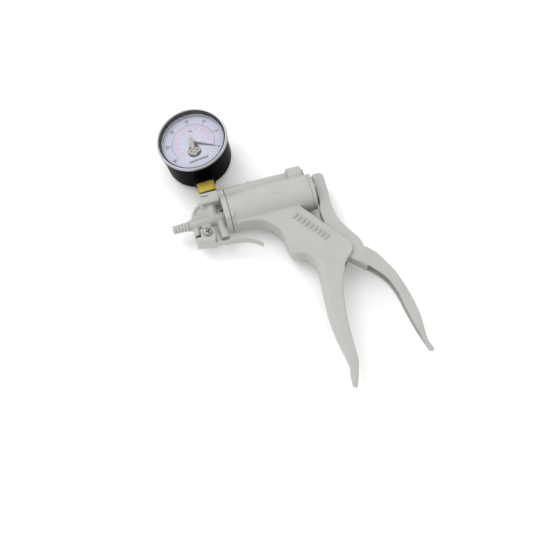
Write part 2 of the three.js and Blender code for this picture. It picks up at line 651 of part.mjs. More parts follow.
const bezelFront = gaugeFront + lensThickness + 2.4;
piece('gauge_bezel', atGauge(turned([
  [bezelSeat, bezelBack], [bezelRadius - 0.5, bezelBack], [bezelRadius, bezelBack + 0.5],
  [bezelRadius, bezelFront - 1.2], [bezelRadius - 0.9, bezelFront - 0.2], [bezelRadius - 1.6, bezelFront],
  [bezelRadius - bezelLip, bezelFront - 0.5], [bezelRadius - bezelLip, gaugeFront + lensThickness + 0.6],
  [bezelSeat, gaugeFront + lensThickness + 0.6], [bezelSeat, bezelBack],
])), [0.45, 0.45, 0.47], 0.2, 1, gauge);
const lensBack = gaugeFront + gap;
piece('gauge_lens', atGauge(turned([
  [0, lensBack], [gaugeRadius - 0.1, lensBack], [gaugeRadius - 0.1, lensBack + lensThickness],
  [0, lensBack + lensThickness],
])), [0.9, 0.95, 0.95], 0.03, 0, gauge);
const canInside = gaugeRadius - gaugeCanWall;
const dialBack = gaugeFront - 3.6;
const dialFront = dialBack + dialThickness;
piece('gauge_ring', atGauge(turned([
  [canInside - 1.7, dialFront + gap], [canInside - gap, dialFront + gap],
  [canInside - gap, gaugeFront - 0.1], [canInside - 1.7, gaugeFront - 0.1],
  [canInside - 1.7, dialFront + gap],
])), [0.7, 0.7, 0.72], 0.3, 1, gauge);

// The dial has a window at and below its centre, through which the movement shows.
const windowOutline = [[-2, 1.8], [-5, -7], [-3.5, -11], [3.5, -11], [5, -7], [2, 1.8]]
  .map(([x, y]) => [x, gaugeY + y]);
piece('gauge_dial', cut(
  atGauge(turned([[0, dialBack], [canInside - gap, dialBack], [canInside - gap, dialFront], [0, dialFront]])),
  rod('z', dialBack - 1, dialFront + 1, 1.6, [0, gaugeY], 14),
  slab(windowOutline, dialBack - 1, dialFront + 1),
), [0.83, 0.83, 0.9], 0.5, 0, gauge);

// Movement frame: two plates on posts, the upper one showing in the dial's window.
const plateLow = 3;
const plateHigh = dialBack - 2;
const movementOutline = [[-6, 4], [6, 4], [7, -15.5], [-7, -15.5]]
  .map(([x, y]) => [x, gaugeY + y]).reverse();
const movement = cut(
  join(
    slab(movementOutline, plateLow, plateLow + 1.2),
    slab(movementOutline, plateHigh, plateHigh + 1.2),
    rod('z', plateLow, plateHigh + 1, 1.3, [-5, gaugeY - 14], 10),
    rod('z', plateLow, plateHigh + 1, 1.3, [5, gaugeY - 14], 10),
    rod('z', plateLow, plateHigh + 1, 1.1, [-4.6, gaugeY + 2.5], 10),
  ),
  rod('z', -5, 20, 1, [0, gaugeY], 12),
  rod('z', -5, 20, 0.9, [0, gaugeY - sectorRadius - pinionRadius - 0.1], 10),
);
piece('gauge_movement', movement, [0.72, 0.66, 0.52], 0.35, 1, gauge);
[[-2.3, -7], [2.3, -7]].forEach(([x, y], i) => {
  piece(`movement_screw_${i + 1}`, rod('z', plateHigh + 1.2 + gap, plateHigh + 2.3, 1.1,
    [x, gaugeY + y], 12), [0.25, 0.22, 0.2], 0.4, 1, gauge);
});

const sectorPivotY = gaugeY - sectorRadius - pinionRadius - 0.1;
const sectorOutline = [
  ...arc(0, sectorPivotY, sectorRadius, 84, 126, 9), [-1.8, sectorPivotY - 1.5], [1.8, sectorPivotY - 1.5],
];
piece('gauge_sector', join(
  slab(sectorOutline, plateLow + 4.4, plateLow + 5.4),
  rod('z', plateLow - 0.2, plateHigh + 1.4, 0.8, [0, sectorPivotY], 10),
), [0.75, 0.6, 0.3], 0.35, 1, gauge);

const pointerLow = dialFront + 0.9;
const pointerOutline = [
  [pointerLength, 0.1], [3, 0.75], [0, 1.1], [-pointerTail, 1.3], [-pointerTail, -1.3], [0, -1.1],
  [3, -0.75], [pointerLength, -0.1],
];
piece('gauge_pointer', join(
  slab(pointerOutline, pointerLow, pointerLow + 0.5),
  rod('z', pointerLow, pointerLow + 1.2, 2.2, [0, 0], 18),
  rod('z', plateLow - 0.2, pointerLow + 0.3, 0.8, [0, 0], 12),
  rod('z', plateLow + 3.6, plateLow + 6.2, pinionRadius, [0, 0], 12),
).rotate([0, 0, THREE.MathUtils.radToDeg(pointerAngle)]).translate([0, gaugeY, 0]),
[0.03, 0.03, 0.03], 0.4, 0, gauge);

// Brass stem: thread, square flats, neck and the socket that holds the tube.
const socketTop = gaugeY - gaugeRadius + 8;
const flatsHalf = stemFlats / 2;
piece('gauge_stem', join(
  rod('y', stemBottom - 8, stemBottom + 1, stemThreadRadius, [0, 0], 18),
  box([-flatsHalf, stemBottom, -flatsHalf], [flatsHalf, stemBottom + stemFlatsHeight, flatsHalf]),
  rod('y', stemBottom + stemFlatsHeight - 1, socketTop, stemNeckRadius, [0, 0], 24),
  box([-6, socketTop - 4, -4], [6, socketTop, 2.2]),
), [0.75, 0.6, 0.22], 0.3, 1, gauge);
piece('stem_seal', cut(
  rod('y', portTop + 0.15, stemBottom - 0.15, 7.2, [0, 0], 24),
  rod('y', portTop - 1, stemBottom + 1, stemThreadRadius + 0.4, [0, 0], 24),
), [0.04, 0.04, 0.04], 0.8, 0, gauge);

// Bourdon tube: an open C round the movement.
const tubeRadius = 18;
const tubeCentre = new THREE.Vector3(0, gaugeY, -1.6);
class OpenC extends THREE.Curve {
  getPoint(t, target = new THREE.Vector3()) {
    const angle = THREE.MathUtils.degToRad(-60 + 255 * t);
    return target.set(
      tubeCentre.x + tubeRadius * Math.cos(angle), tubeCentre.y + tubeRadius * Math.sin(angle), tubeCentre.z,
    );
  }
}
piece('bourdon_tube', along(new OpenC(), 1.9, 8, 22), [0.78, 0.62, 0.3], 0.3, 1, gauge);

gauge.rotation.y = gaugeTwist;

// Stand the pump's box on the origin.
pump.updateMatrixWorld(true);
const bounds = new THREE.Box3().setFromObject(pump, true);
pump.position.set(-(bounds.min.x + bounds.max.x) / 2, -(bounds.min.y + bounds.max.y) / 2, -bounds.min.z);

export default pump;
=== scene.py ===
import json
import math
import bpy
import numpy as np
from mathutils import Matrix, Vector


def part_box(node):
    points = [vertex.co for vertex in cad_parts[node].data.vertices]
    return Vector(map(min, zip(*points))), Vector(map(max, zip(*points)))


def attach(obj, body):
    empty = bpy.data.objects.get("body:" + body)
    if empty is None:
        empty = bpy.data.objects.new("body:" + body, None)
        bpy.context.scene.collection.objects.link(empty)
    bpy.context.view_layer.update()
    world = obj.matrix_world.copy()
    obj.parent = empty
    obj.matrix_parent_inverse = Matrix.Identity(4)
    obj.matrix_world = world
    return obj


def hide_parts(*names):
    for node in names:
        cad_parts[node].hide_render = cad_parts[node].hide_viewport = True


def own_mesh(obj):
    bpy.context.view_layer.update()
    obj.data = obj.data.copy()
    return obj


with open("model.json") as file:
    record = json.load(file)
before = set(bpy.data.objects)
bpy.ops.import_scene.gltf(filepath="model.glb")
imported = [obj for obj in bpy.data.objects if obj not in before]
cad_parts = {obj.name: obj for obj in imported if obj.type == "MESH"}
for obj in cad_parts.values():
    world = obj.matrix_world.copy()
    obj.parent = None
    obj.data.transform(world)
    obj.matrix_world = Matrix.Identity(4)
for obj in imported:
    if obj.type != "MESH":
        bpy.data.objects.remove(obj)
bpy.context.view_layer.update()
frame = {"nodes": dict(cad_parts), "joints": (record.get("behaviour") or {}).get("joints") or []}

# Hand vacuum pump, lying on its side. Sizes are in millimetres about the barrel's axis, with the gauge
# stem at x = 0 and the pump's middle plane at z = 0; every mesh is put in metres in the frame's place.

joints = {joint["name"]: joint for joint in frame["joints"]}
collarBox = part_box("barrel_collar")
drawingOrigin = np.array([
    joints["pointer_turn"]["pos_m"][0],
    (collarBox[0].y + collarBox[1].y) / 2,
    (collarBox[0].z + collarBox[1].z) / 2,
]) * 1000


def fromFrame(point):  # a place in the frame, in the drawing's millimetres
    return np.array(point) * 1000 - drawingOrigin


def boxOf(node):
    low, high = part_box(node)
    return fromFrame(low), fromFrame(high)


pivot = fromFrame(joints["handle_squeeze"]["pos_m"])
leverPivot = fromFrame(joints["release_press"]["pos_m"])
gaugeCentre = fromFrame(joints["pointer_turn"]["pos_m"])
gaugeAxis = joints["pointer_turn"]["axis"]
gaugeTwist = math.atan2(gaugeAxis[0], gaugeAxis[2])

# Shader helpers


class Wire:  # a node's output that can stand in a sum
    def __init__(self, book, socket):
        self.book, self.socket = book, socket

    def maths(self, operation, first, second):
        return self.book.node("ShaderNodeMath", {"operation": operation}, {0: first, 1: second})

    def __add__(self, other):
        return self.maths("ADD", self, other)

    def __sub__(self, other):
        return self.maths("SUBTRACT", self, other)

    def __rsub__(self, other):
        return self.maths("SUBTRACT", other, self)

    def __mul__(self, other):
        return self.maths("MULTIPLY", self, other)

    __radd__ = __add__
    __rmul__ = __mul__


class NodeBook:  # the nodes of one material
    def __init__(self, name):
        self.material = bpy.data.materials.new(name)
        self.material.use_nodes = True
        self.tree = self.material.node_tree
        self.tree.nodes.clear()
        self.output = self.tree.nodes.new("ShaderNodeOutputMaterial")

    def node(self, kind, settings=None, inputs=None, output=0):
        made = self.tree.nodes.new(kind)
        for key, value in (settings or {}).items():
            if key == "stops":
                ramp = made.color_ramp
                while len(ramp.elements) < len(value):
                    ramp.elements.new(0.5)
                for element, (position, colour) in zip(ramp.elements, value):
                    element.position = position
                    element.color = (*colour, 1.0) if len(colour) == 3 else colour
            else:
                setattr(made, key, value)
        for key, value in (inputs or {}).items():
            if isinstance(value, Wire):
                self.tree.links.new(value.socket, made.inputs[key])
            else:
                made.inputs[key].default_value = value
        return Wire(self, made.outputs[output])

    def place(self):
        return self.node("ShaderNodeTexCoord", output="Object")

    def noise(self, scale, detail=3.0, roughness=0.5, at=None):
        return self.node("ShaderNodeTexNoise", {}, {
            "Vector": at or self.place(), "Scale": scale, "Detail": detail, "Roughness": roughness})

    def ramp(self, factor, *stops):
        return self.node("ShaderNodeValToRGB", {"stops": stops}, {"Fac": factor})

    def spread(self, value, low, high):  # 0..1 noise moved to low..high
        return value * (high - low) + low

    def bump(self, height, strength, distance):
        return self.node("ShaderNodeBump", {}, {
            "Height": height, "Strength": strength, "Distance": distance}, "Normal")

    def finish(self, **inputs):
        given = {key.replace("_", " "): value for key, value in inputs.items()}
        shader = self.node("ShaderNodeBsdfPrincipled", {}, given, "BSDF")
        self.tree.links.new(shader.socket, self.output.inputs["Surface"])
        return self.material


def mouldedPlastic(name, colour, roughness=0.42, mottle=0.05):
    book = NodeBook(name)
    cloud = book.noise(38.0, 4.0)
    grain = book.noise(1500.0, 2.0)
    light = tuple(min(1.0, c * (1 + mottle)) for c in colour)
    dark = tuple(c * (1 - mottle) for c in colour)
    tint = book.ramp(cloud, (0.3, dark), (0.7, light))
    return book.finish(
        Base_Color=tint,
        Roughness=book.spread(cloud * 0.6 + grain * 0.4, roughness - 0.08, roughness + 0.1),
        Normal=book.bump(grain * 0.5 + cloud * 0.5, 0.12, 0.0003),
        Specular_IOR_Level=0.4,
    )


def turnedMetal(name, colour, roughness, lines=900.0, strength=0.06, metal=1.0):
    book = NodeBook(name)
    scratches = book.node("ShaderNodeTexNoise", {}, {
        "Vector": book.node("ShaderNodeMapping", {}, {"Vector": book.place(), "Scale": (1.0, 1.0, 8.0)}),
        "Scale": lines, "Detail": 3.0})
    patches = book.noise(120.0)
    tint = book.ramp(patches, (0.3, tuple(c * 0.86 for c in colour)), (0.75, colour))
    return book.finish(
        Base_Color=tint, Metallic=metal,
        Roughness=book.spread(scratches * 0.5 + patches * 0.5, roughness * 0.6, roughness * 1.5),
        Normal=book.bump(scratches, strength, 0.0002),
    )


def softRubber(name, colour=(0.02, 0.02, 0.02)):
    book = NodeBook(name)
    grain = book.noise(900.0, 3.0)
    return book.finish(
        Base_Color=book.ramp(grain, (0.3, colour), (0.8, tuple(c * 1.8 for c in colour))),
        Roughness=book.spread(grain, 0.55, 0.8), Normal=book.bump(grain, 0.2, 0.0002))


def glossBlack(name):
    book = NodeBook(name)
    cloud = book.noise(60.0, 3.0)
    return book.finish(
        Base_Color=book.ramp(cloud, (0.3, (0.0008, 0.0008, 0.001)), (0.8, (0.002, 0.002, 0.0022))),
        Roughness=book.spread(cloud, 0.25, 0.4), Specular_IOR_Level=0.012,
        Normal=book.bump(cloud, 0.03, 0.0004))


def dialPaint(name):
    book = NodeBook(name)
    cloud = book.noise(90.0, 3.0)
    return book.finish(
        Base_Color=book.ramp(cloud, (0.3, (0.42, 0.42, 0.54)), (0.75, (0.47, 0.47, 0.60))),
        Roughness=book.spread(cloud, 0.4, 0.6))


def printedInk(name, colour):
    book = NodeBook(name)
    cloud = book.noise(600.0, 2.0)
    worn = tuple(min(1, c * 1.25 + 0.01) for c in colour)
    return book.finish(
        Base_Color=book.ramp(cloud, (0.3, colour), (0.8, worn)),
        Roughness=book.spread(cloud, 0.5, 0.7))


def clearLens(name):
    book = NodeBook(name)
    cloud = book.noise(50.0, 2.0)
    return book.finish(
        Base_Color=book.ramp(cloud, (0.3, (0.9, 0.93, 0.95)), (0.8, (0.95, 0.97, 1.0))),
        Roughness=book.spread(cloud, 0.02, 0.05), Alpha=0.05, Specular_IOR_Level=0.3)


bodyColour = (0.39, 0.405, 0.375)
finishes = {
    "body": mouldedPlastic("bodyPlastic", bodyColour),
    "black": glossBlack("gaugeBlack"),
    "steel": turnedMetal("plainSteel", (0.30, 0.30, 0.31), 0.4),
    "bezel": turnedMetal("bezelSteel", (0.40, 0.41, 0.45), 0.2, 500.0, 0.02),
    "brass": turnedMetal("stemBrass", (0.36, 0.26, 0.045), 0.42, 700.0, 0.12),
    "bridge": turnedMetal("bridgeNickel", (0.33, 0.31, 0.25), 0.5, 800.0, 0.08, 0.4),
    "spring": turnedMetal("springSteel", (0.45, 0.45, 0.47), 0.3),
    # near-black steel for the movement screws, also used as painted shade on the gauge sector seen through
    # the dial window
    "darkSteelAndShade": turnedMetal("darkSteelAndShade", (0.03, 0.03, 0.03), 0.5),
    "rubber": softRubber("softRubber"),
    "gasket": softRubber("greyGasket", (0.26, 0.27, 0.245)),
    "piston": mouldedPlastic("pistonPlastic", (0.04, 0.04, 0.045), 0.4),
    "dial": dialPaint("dialPaint"),
    "inkBlack": printedInk("inkBlack", (0.05, 0.05, 0.07)),
    "inkRed": printedInk("inkRed", (0.56, 0.24, 0.28)),
    "pointer": printedInk("pointerBlack", (0.012, 0.012, 0.012)),
    "lens": clearLens("clearLens"),
}
print("finishes made:", len(finishes))

# Mesh helpers


def makePiece(name, vertices, faces, finish, body, replaced=(), sharpAngle=None):
    mesh = bpy.data.meshes.new(name)
    placed = (np.asarray(vertices, dtype=float) + drawingOrigin) / 1000
    mesh.from_pydata(placed.tolist(), [], [list(map(int, face)) for face in faces])
    mesh.update()
    mesh.polygons.foreach_set("use_smooth", [True] * len(mesh.polygons))
    if sharpAngle:
        mesh.set_sharp_from_angle(angle=math.radians(sharpAngle))
    mesh.materials.append(finishes[finish])
    made = bpy.data.objects.new(name, mesh)
    bpy.context.scene.collection.objects.link(made)
    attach(made, body)
    if replaced:
        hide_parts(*replaced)
    return made


def filleted(points, radius, steps=4, closed=False):  # corners of a polyline rounded by short arcs
    points = [np.array(p, dtype=float) for p in points]
    result = []
    count = len(points)
    for i, point in enumerate(points):
        if not closed and i in (0, count - 1):
            result.append(point)
            continue
        before, after = points[i - 1] - point, points[(i + 1) % count] - point
        reach = min(radius, 0.45 * np.linalg.norm(before), 0.45 * np.linalg.norm(after))
        start = point + before / max(np.linalg.norm(before), 1e-9) * reach
        end = point + after / max(np.linalg.norm(after), 1e-9) * reach
        for k in range(steps + 1):
            t = k / steps
            result.append((1 - t) ** 2 * start + 2 * t * (1 - t) * point + t ** 2 * end)
    return result


axisTurns = {
    "x": np.array([[0, 0, 1], [0, 1, 0], [-1, 0, 0]], dtype=float),  # local z to x
    "y": np.array([[1, 0, 0], [0, 0, 1], [0, -1, 0]], dtype=float),
    "z": np.eye(3),
}
slopeStep = 0.02  # used to measure how fast a shape's distance changes


def turnedPiece(name, profile, axis, centre, finish, body, replaced=(), segments=96,
                closed=False, inGauge=False, sharpAngle=None):
    rings = np.array([[p[0], p[1]] for p in profile])
    turn = np.linspace(0, 2 * math.pi, segments, endpoint=False)
    vertices, index = [], []
    for radius, height in rings:
        if radius < 1e-6:  # a pole is one point
            index.append([len(vertices)] * segments)
            vertices.append([0, 0, height])
        else:
            index.append(list(range(len(vertices), len(vertices) + segments)))
            vertices += [[radius * math.cos(a), radius * math.sin(a), height] for a in turn]
    faces = []
    for i in range(len(rings) if closed else len(rings) - 1):
        a, b = index[i], index[(i + 1) % len(rings)]
        for k in range(segments):
            m = (k + 1) % segments
            corners = [a[k], a[m], b[m], b[k]]
            corners = [c for n, c in enumerate(corners) if c != corners[n - 1]]
            if len(corners) > 2:
                faces.append(corners)
    vertices = np.array(vertices) @ axisTurns[axis].T + np.array(centre)
    if inGauge:
        vertices = gaugePlaced(vertices)
    if signedVolume(vertices, faces) < 0:
        faces = [face[::-1] for face in faces]
    return makePiece(name, vertices, faces, finish, body, replaced, sharpAngle)


def signedVolume(vertices, faces):
    return sum(np.dot(vertices[f[0]], np.cross(vertices[f[k]], vertices[f[k + 1]]))
               for f in faces for k in range(1, len(f) - 1))


def gaugePlaced(vertices):  # from the gauge's own axes to the drawing's
    c, s = math.cos(gaugeTwist), math.sin(gaugeTwist)
    turned = np.asarray(vertices) @ np.array([[c, 0, s], [0, 1, 0], [-s, 0, c]]).T
    return turned + np.array([0, gaugeCentre[1], 0])


# Moulded shapes are signed distances: negative inside, joined and cut with small fillets.


def corner(a, b, radius):
    a, b = a + radius, b + radius
    return np.minimum(np.maximum(a, b), 0) + np.hypot(np.maximum(a, 0), np.maximum(b, 0)) - radius


def roundBar(place, axis, start, end, radius, centre, edge=0.4):
    x, y, z = place
    along, u, v = {"x": (x, y, z), "y": (y, x, z), "z": (z, x, y)}[axis]
    radial = np.hypot(u - centre[0], v - centre[1]) - radius
    return corner(radial, np.abs(along - (start + end) / 2) - (end - start) / 2, edge)


def block(place, low, high, edge=0.4):
    parts = [np.abs(p - (a + b) / 2) - (b - a) / 2 + edge for p, a, b in zip(place, low, high)]
    outside = np.sqrt(sum(np.maximum(p, 0) ** 2 for p in parts))
    return outside + np.minimum(np.maximum(np.maximum(parts[0], parts[1]), parts[2]), 0) - edge


def outlineDistance(x, y, outline):
    nearest = np.full(np.broadcast(x, y).shape, 1e9)
    inside = np.zeros(nearest.shape, dtype=bool)
    for (ax, ay), (bx, by) in zip(outline, np.roll(outline, -1, axis=0)):
        ex, ey = bx - ax, by - ay
        length = ex * ex + ey * ey
        if length < 1e-12:
            continue
        t = np.clip(((x - ax) * ex + (y - ay) * ey) / length, 0, 1)
        nearest = np.minimum(nearest, (x - ax - t * ex) ** 2 + (y - ay - t * ey) ** 2)
        if ay != by:
            inside ^= ((ay > y) != (by > y)) & (x < ax + (y - ay) * ex / ey)
    return np.where(inside, -1, 1) * np.sqrt(nearest)


def plate(place, outline, halfWidth, edge=0.8, middle=0.0):
    x, y, z = place
    return corner(outlineDistance(x, y, outline), np.abs(z - middle) - halfWidth, edge)


def joined(a, b, fillet=0.6):
    h = np.clip(0.5 + 0.5 * (b - a) / fillet, 0, 1)
    return b * (1 - h) + a * h - fillet * h * (1 - h)


def without(a, b, fillet=0.4):
    return -joined(-a, b, fillet)


def both(a, b, fillet=0.4):
    return -joined(-a, -b, fillet)


def mouldedPiece(name, shape, low, high, cell, finish, body, replaced=(), inGauge=False):
    axes = [np.arange(a - 2 * cell, b + 2.5 * cell, cell) for a, b in zip(low, high)]
    grid = (axes[0][:, None, None], axes[1][None, :, None], axes[2][None, None, :])
    value = np.broadcast_to(shape(grid), [len(a) for a in axes])
    inside = value < 0
    size = [n - 1 for n in value.shape]
    corners = [(i, j, k) for i in (0, 1) for j in (0, 1) for k in (0, 1)]

    def at(array, c):
        return array[c[0]:c[0] + size[0], c[1]:c[1] + size[1], c[2]:c[2] + size[2]]

    count = sum(at(inside, c).astype(np.int8) for c in corners)
    cells = np.argwhere((count > 0) & (count < 8))
    number = np.full(size, -1)
    number[tuple(cells.T)] = np.arange(len(cells))
    total, hits = np.zeros((len(cells), 3)), np.zeros(len(cells))
    for axis in range(3):
        step = np.eye(3, dtype=int)[axis]
        for c in corners:
            if c[axis]:
                continue
            a = value[tuple((cells + c).T)]
            b = value[tuple((cells + c + step).T)]
            cross = (a < 0) != (b < 0)
            t = np.where(cross, a / np.where(cross, a - b, 1), 0)
            total += cross[:, None] * (np.array(c) + t[:, None] * step)
            hits += cross
    start = np.array([a[0] for a in axes])
    points = start + cell * (cells + total / hits[:, None])
    faces = []
    for axis in range(3):
        u, v = (axis + 1) % 3, (axis + 2) % 3
        step = np.eye(3, dtype=int)
        nearSide = [slice(1, -1)] * 3
        nearSide[axis] = slice(0, -1)
        farSide = [slice(1, -1)] * 3
        farSide[axis] = slice(1, None)
        first, second = inside[tuple(nearSide)], inside[tuple(farSide)]
        spots = np.argwhere(first != second)
        flipped = first[tuple(spots.T)]
        spots = spots + 1 - step[axis]
        ring = [spots - step[u] - step[v], spots - step[v], spots, spots - step[u]]
        ring = np.stack([number[tuple(r.T)] for r in ring], axis=1)
        faces.append(np.where(flipped[:, None], ring, ring[:, ::-1]))
    faces = np.concatenate(faces)
    for _ in range(3):  # slide the points on to the true surface
        here = shape(tuple(points.T))
        ahead = [shape(tuple((points + np.eye(3)[i] * slopeStep).T)) for i in range(3)]
        slope = np.stack([(value - here) / slopeStep for value in ahead], axis=1)
        shift = here[:, None] * slope / np.maximum((slope ** 2).sum(1), 0.25)[:, None]
        points = points - np.clip(shift, -0.4 * cell, 0.4 * cell)
    if inGauge:
        points = gaugePlaced(points)
    return makePiece(name, points, faces, finish, body, replaced)


def splined(points, steps=7):  # a smooth curve through points
    points = np.array(points, dtype=float)
    ends = np.vstack([2 * points[0] - points[1], points, 2 * points[-1] - points[-2]])
    result = []
    for a, b, c, d in zip(ends[:-3], ends[1:-2], ends[2:-1], ends[3:]):
        for k in range(steps):
            t = k / steps
            result.append(0.5 * (2 * b + (c - a) * t + (2 * a - 5 * b + 4 * c - d) * t ** 2
                                 + (3 * b - 3 * c + d - a) * t ** 3))
    return np.array(result + [points[-1]])


def arcPoints(centre, radius, start, end, steps=16):
    angles = np.radians(np.linspace(start, end, steps + 1))
    return np.stack([centre[0] + radius * np.cos(angles), centre[1] + radius * np.sin(angles)], axis=1)


def movedAside(points, distance):  # positive moves a curve to the left of its direction
    points = np.asarray(points)
    along = np.gradient(points, axis=0)
    along /= np.linalg.norm(along, axis=1)[:, None]
    return points + distance * np.stack([-along[:, 1], along[:, 0]], axis=1)


def evenly(outline, count):  # a closed outline with points the same distance apart
    ring = np.vstack([outline, outline[:1]])
    along = np.concatenate([[0], np.cumsum(np.linalg.norm(np.diff(ring, axis=0), axis=1))])
    places = np.linspace(0, along[-1], count, endpoint=False)
    return np.stack([np.interp(places, along, ring[:, i]) for i in (0, 1)], axis=1)


def aboutPivot(points):
    return np.array(points, dtype=float) + pivot[:2]


# Both grips get thinner toward their tips, and their outlines lean with the near face.
taper = {"top": pivot[1] - 20, "tip": pivot[1] - 106, "widest": 9.0, "lean": (0.18, 0.386)}


def falling(y, wide, narrow):
    return wide + (narrow - wide) * np.clip((taper["top"] - y) / (taper["top"] - taper["tip"]), 0, 1)


def leaned(points, wide, narrow):
    points = np.asarray(points, dtype=float)
    thinned = taper["widest"] - falling(points[:, 1], wide, narrow)
    return points + thinned[:, None] * np.array(taper["lean"])


# Body moulding

bodyBox = boxOf("pump_body")
collarLow, collarHigh = boxOf("barrel_collar")
plugLow, plugHigh = boxOf("top_tube_plug")
collarLip = 3.1  # length of the collar that shows behind the barrel
plugLip = 1.8  # and of the plug behind its tube
body = {
    "radius": (collarHigh[2] - collarLow[2]) / 2,
    "wall": 2.5,
    "front": bodyBox[0][0],
    "rear": collarHigh[0] - collarLip,
    "tubeRadius": 6.0,
    "tubeBore": 3.5,
    "tubeHeight": 16.5,
    "bossRadius": 9.0,
    "bossRear": plugHigh[0] - plugLip,
    "bossLength": 12.0,
    "screwBoss": 3.0,
    "screwBossLength": 2.6,
    "pinBore": 2.7,
    "pinBoreDepth": 6.6,
    "edge": 0.9,
    "bulkEdge": 1.4,
    "gripEdge": 0.8,
    "gripBulkEdge": 3.2,
    "plateHalfWidth": 8.0,
    "gripHalfWidth": 9.0,
    "gripTip": 4.5,
    "sideWall": 2.3,
    "frontWall": 2.5,
    "fillet": 0.9,
    "cell": 0.6,
}
screwPlaces = [(-8.5, 11.8), (-8.5, -11.8), (8.5, -11.8)]



def gripLeaned(points):
    return leaned(points, body["gripHalfWidth"], body["gripTip"])


openBelow = pivot[1] - 12  # under this the pocket takes the grip's own width
underBarrel = -body["radius"] - 0.2
frontEdge = gripLeaned(splined([
    (body["front"], underBarrel + 0.1), *aboutPivot([
        (-63.7, 42.3), (-57.3, 41.1), (-52.8, 39.2), (-47.9, 35.5), (-43.4, 30.4), (-41.2, 24.5),
        (-40.3, 16.5), (-39.2, 9.4), (-37.8, 6.2), (-35.1, 4.6), (-28.9, 3), (-25.3, 0.3),
        (-22.6, -4.3), (-21.5, -10.1), (-21.9, -17.4), (-23.8, -34.1), (-25, -49.5), (-24.7, -65.5),
        (-22.7, -83.8), (-21.8, -91.8)])]))
lipFront = gripLeaned(aboutPivot([(-23.6, -99.5), (-24.3, -106.5)]))
lipRear = gripLeaned(aboutPivot([(-22.5, -108.1), (-19.4, -100.5)]))
gripRear = gripLeaned(splined(aboutPivot([
    (-16.4, -91), (-15.9, -83.7), (-14.6, -60.2), (-11.4, -38.6), (-7.8, -26.8), (-4.4, -19),
    (-0.6, -12.2), (3.1, -8.2)])))
yokeRadius = 8.3
pivotRound = arcPoints(pivot, yokeRadius, -50, 35)
plateTop = np.vstack([aboutPivot([(-22.3, 45.7)]), [(body["front"], 0)]])
frameOutline = np.vstack([frontEdge, lipFront, lipRear, gripRear, pivotRound, plateTop])
pocketFront = movedAside(frontEdge[8:-8], body["frontWall"])
pocketOutline = np.vstack([
    pocketFront, aboutPivot([(-17.5, -84.5), (20, -84.5), (20, 60)]), [(pocketFront[0][0], 5)]])
frameBulk = np.vstack([
    frontEdge[1:], lipFront[:1], gripLeaned(aboutPivot([(-24.3, -107)])),
    aboutPivot([(20, -120), (40, 70), (-63.7, 70)])])
gripStart = 84  # the point of the front edge where the grip gets its own width
gripOutline = np.vstack([frontEdge[gripStart:], lipFront, lipRear, gripRear[:-12]])
gripBulk = np.vstack([
    frontEdge[gripStart - 6:],
    gripLeaned(aboutPivot([(-23.6, -99.5), (-24.3, -107), (-22.5, -108.3), (10, -108.3)])),
    aboutPivot([(14, -20)])])
gateNub = {"x": 33.5, "top": 22.9, "z": 2.0, "radius": 1.1}
gateMark = np.array([(48.6, -0.9), (48.8, -0.2), (54.6, -1.4), (54.5, -2.3)])


def bodyShape(place):
    b = body
    tubeAt = (b["tubeHeight"], 0)
    barrel = roundBar(place, "x", b["front"], b["rear"], b["radius"], (0, 0), 0.5)
    tube = roundBar(place, "x", b["front"], b["bossRear"], b["tubeRadius"], tubeAt, 0.5)
    boss = roundBar(place, "x", b["bossRear"] - b["bossLength"], b["bossRear"], b["bossRadius"],
                    tubeAt, 1.2)
    whole = joined(joined(barrel, tube, 0.9), boss, 0.8)
    nub = roundBar(place, "y", b["tubeHeight"], gateNub["top"], gateNub["radius"],
                   (gateNub["x"], gateNub["z"]), 0.5)
    whole = joined(whole, nub, 0.4)
    for screwAt in screwPlaces:
        bossEnd = b["front"] + b["screwBossLength"]
        whole = joined(whole, roundBar(place, "x", b["front"], bossEnd, b["screwBoss"], screwAt, 0.8), 1.2)
    wide = falling(place[1], b["gripHalfWidth"], b["gripTip"])
    flat = np.minimum(wide, b["plateHalfWidth"])
    sides = both(plate(place, frameOutline, flat, b["edge"]),
                 plate(place, frameBulk, flat, b["bulkEdge"]), 0.3)
    grip = both(plate(place, gripOutline, wide, b["gripEdge"]),
                plate(place, gripBulk, wide, b["gripBulkEdge"]), 0.3)
    pocket = plate(place, pocketOutline, flat - b["sideWall"], 0.8)
    gripPocket = plate(place, pocketOutline, wide - b["sideWall"], 0.8)
    hollow = np.where(place[1] < openBelow, gripPocket, pocket)
    frameSides = without(joined(sides, grip, 3.0), hollow, 0.5)
    whole = joined(whole, frameSides, b["fillet"])
    whole = without(whole, plate(place, gateMark, 1.0, 0.2, b["radius"] + 0.4), 0.3)
    bore = roundBar(place, "x", b["front"] - 2, b["rear"] + 2, b["radius"] - b["wall"], (0, 0), 0.1)
    tubeBore = roundBar(place, "x", b["front"] - 2, b["bossRear"] + 2, b["tubeBore"], tubeAt, 0.1)
    pinBore = roundBar(place, "z", -20, b["pinBoreDepth"], b["pinBore"], (pivot[0], pivot[1]), 0.1)
    return without(without(without(whole, bore, 0.3), tubeBore, 0.3), pinBore, 0.3)


mouldedPiece("bodyMoulding", bodyShape, bodyBox[0], bodyBox[1], body["cell"], "body", "frame",
             ("pump_body",))
print("body moulding made")

# Moving handle

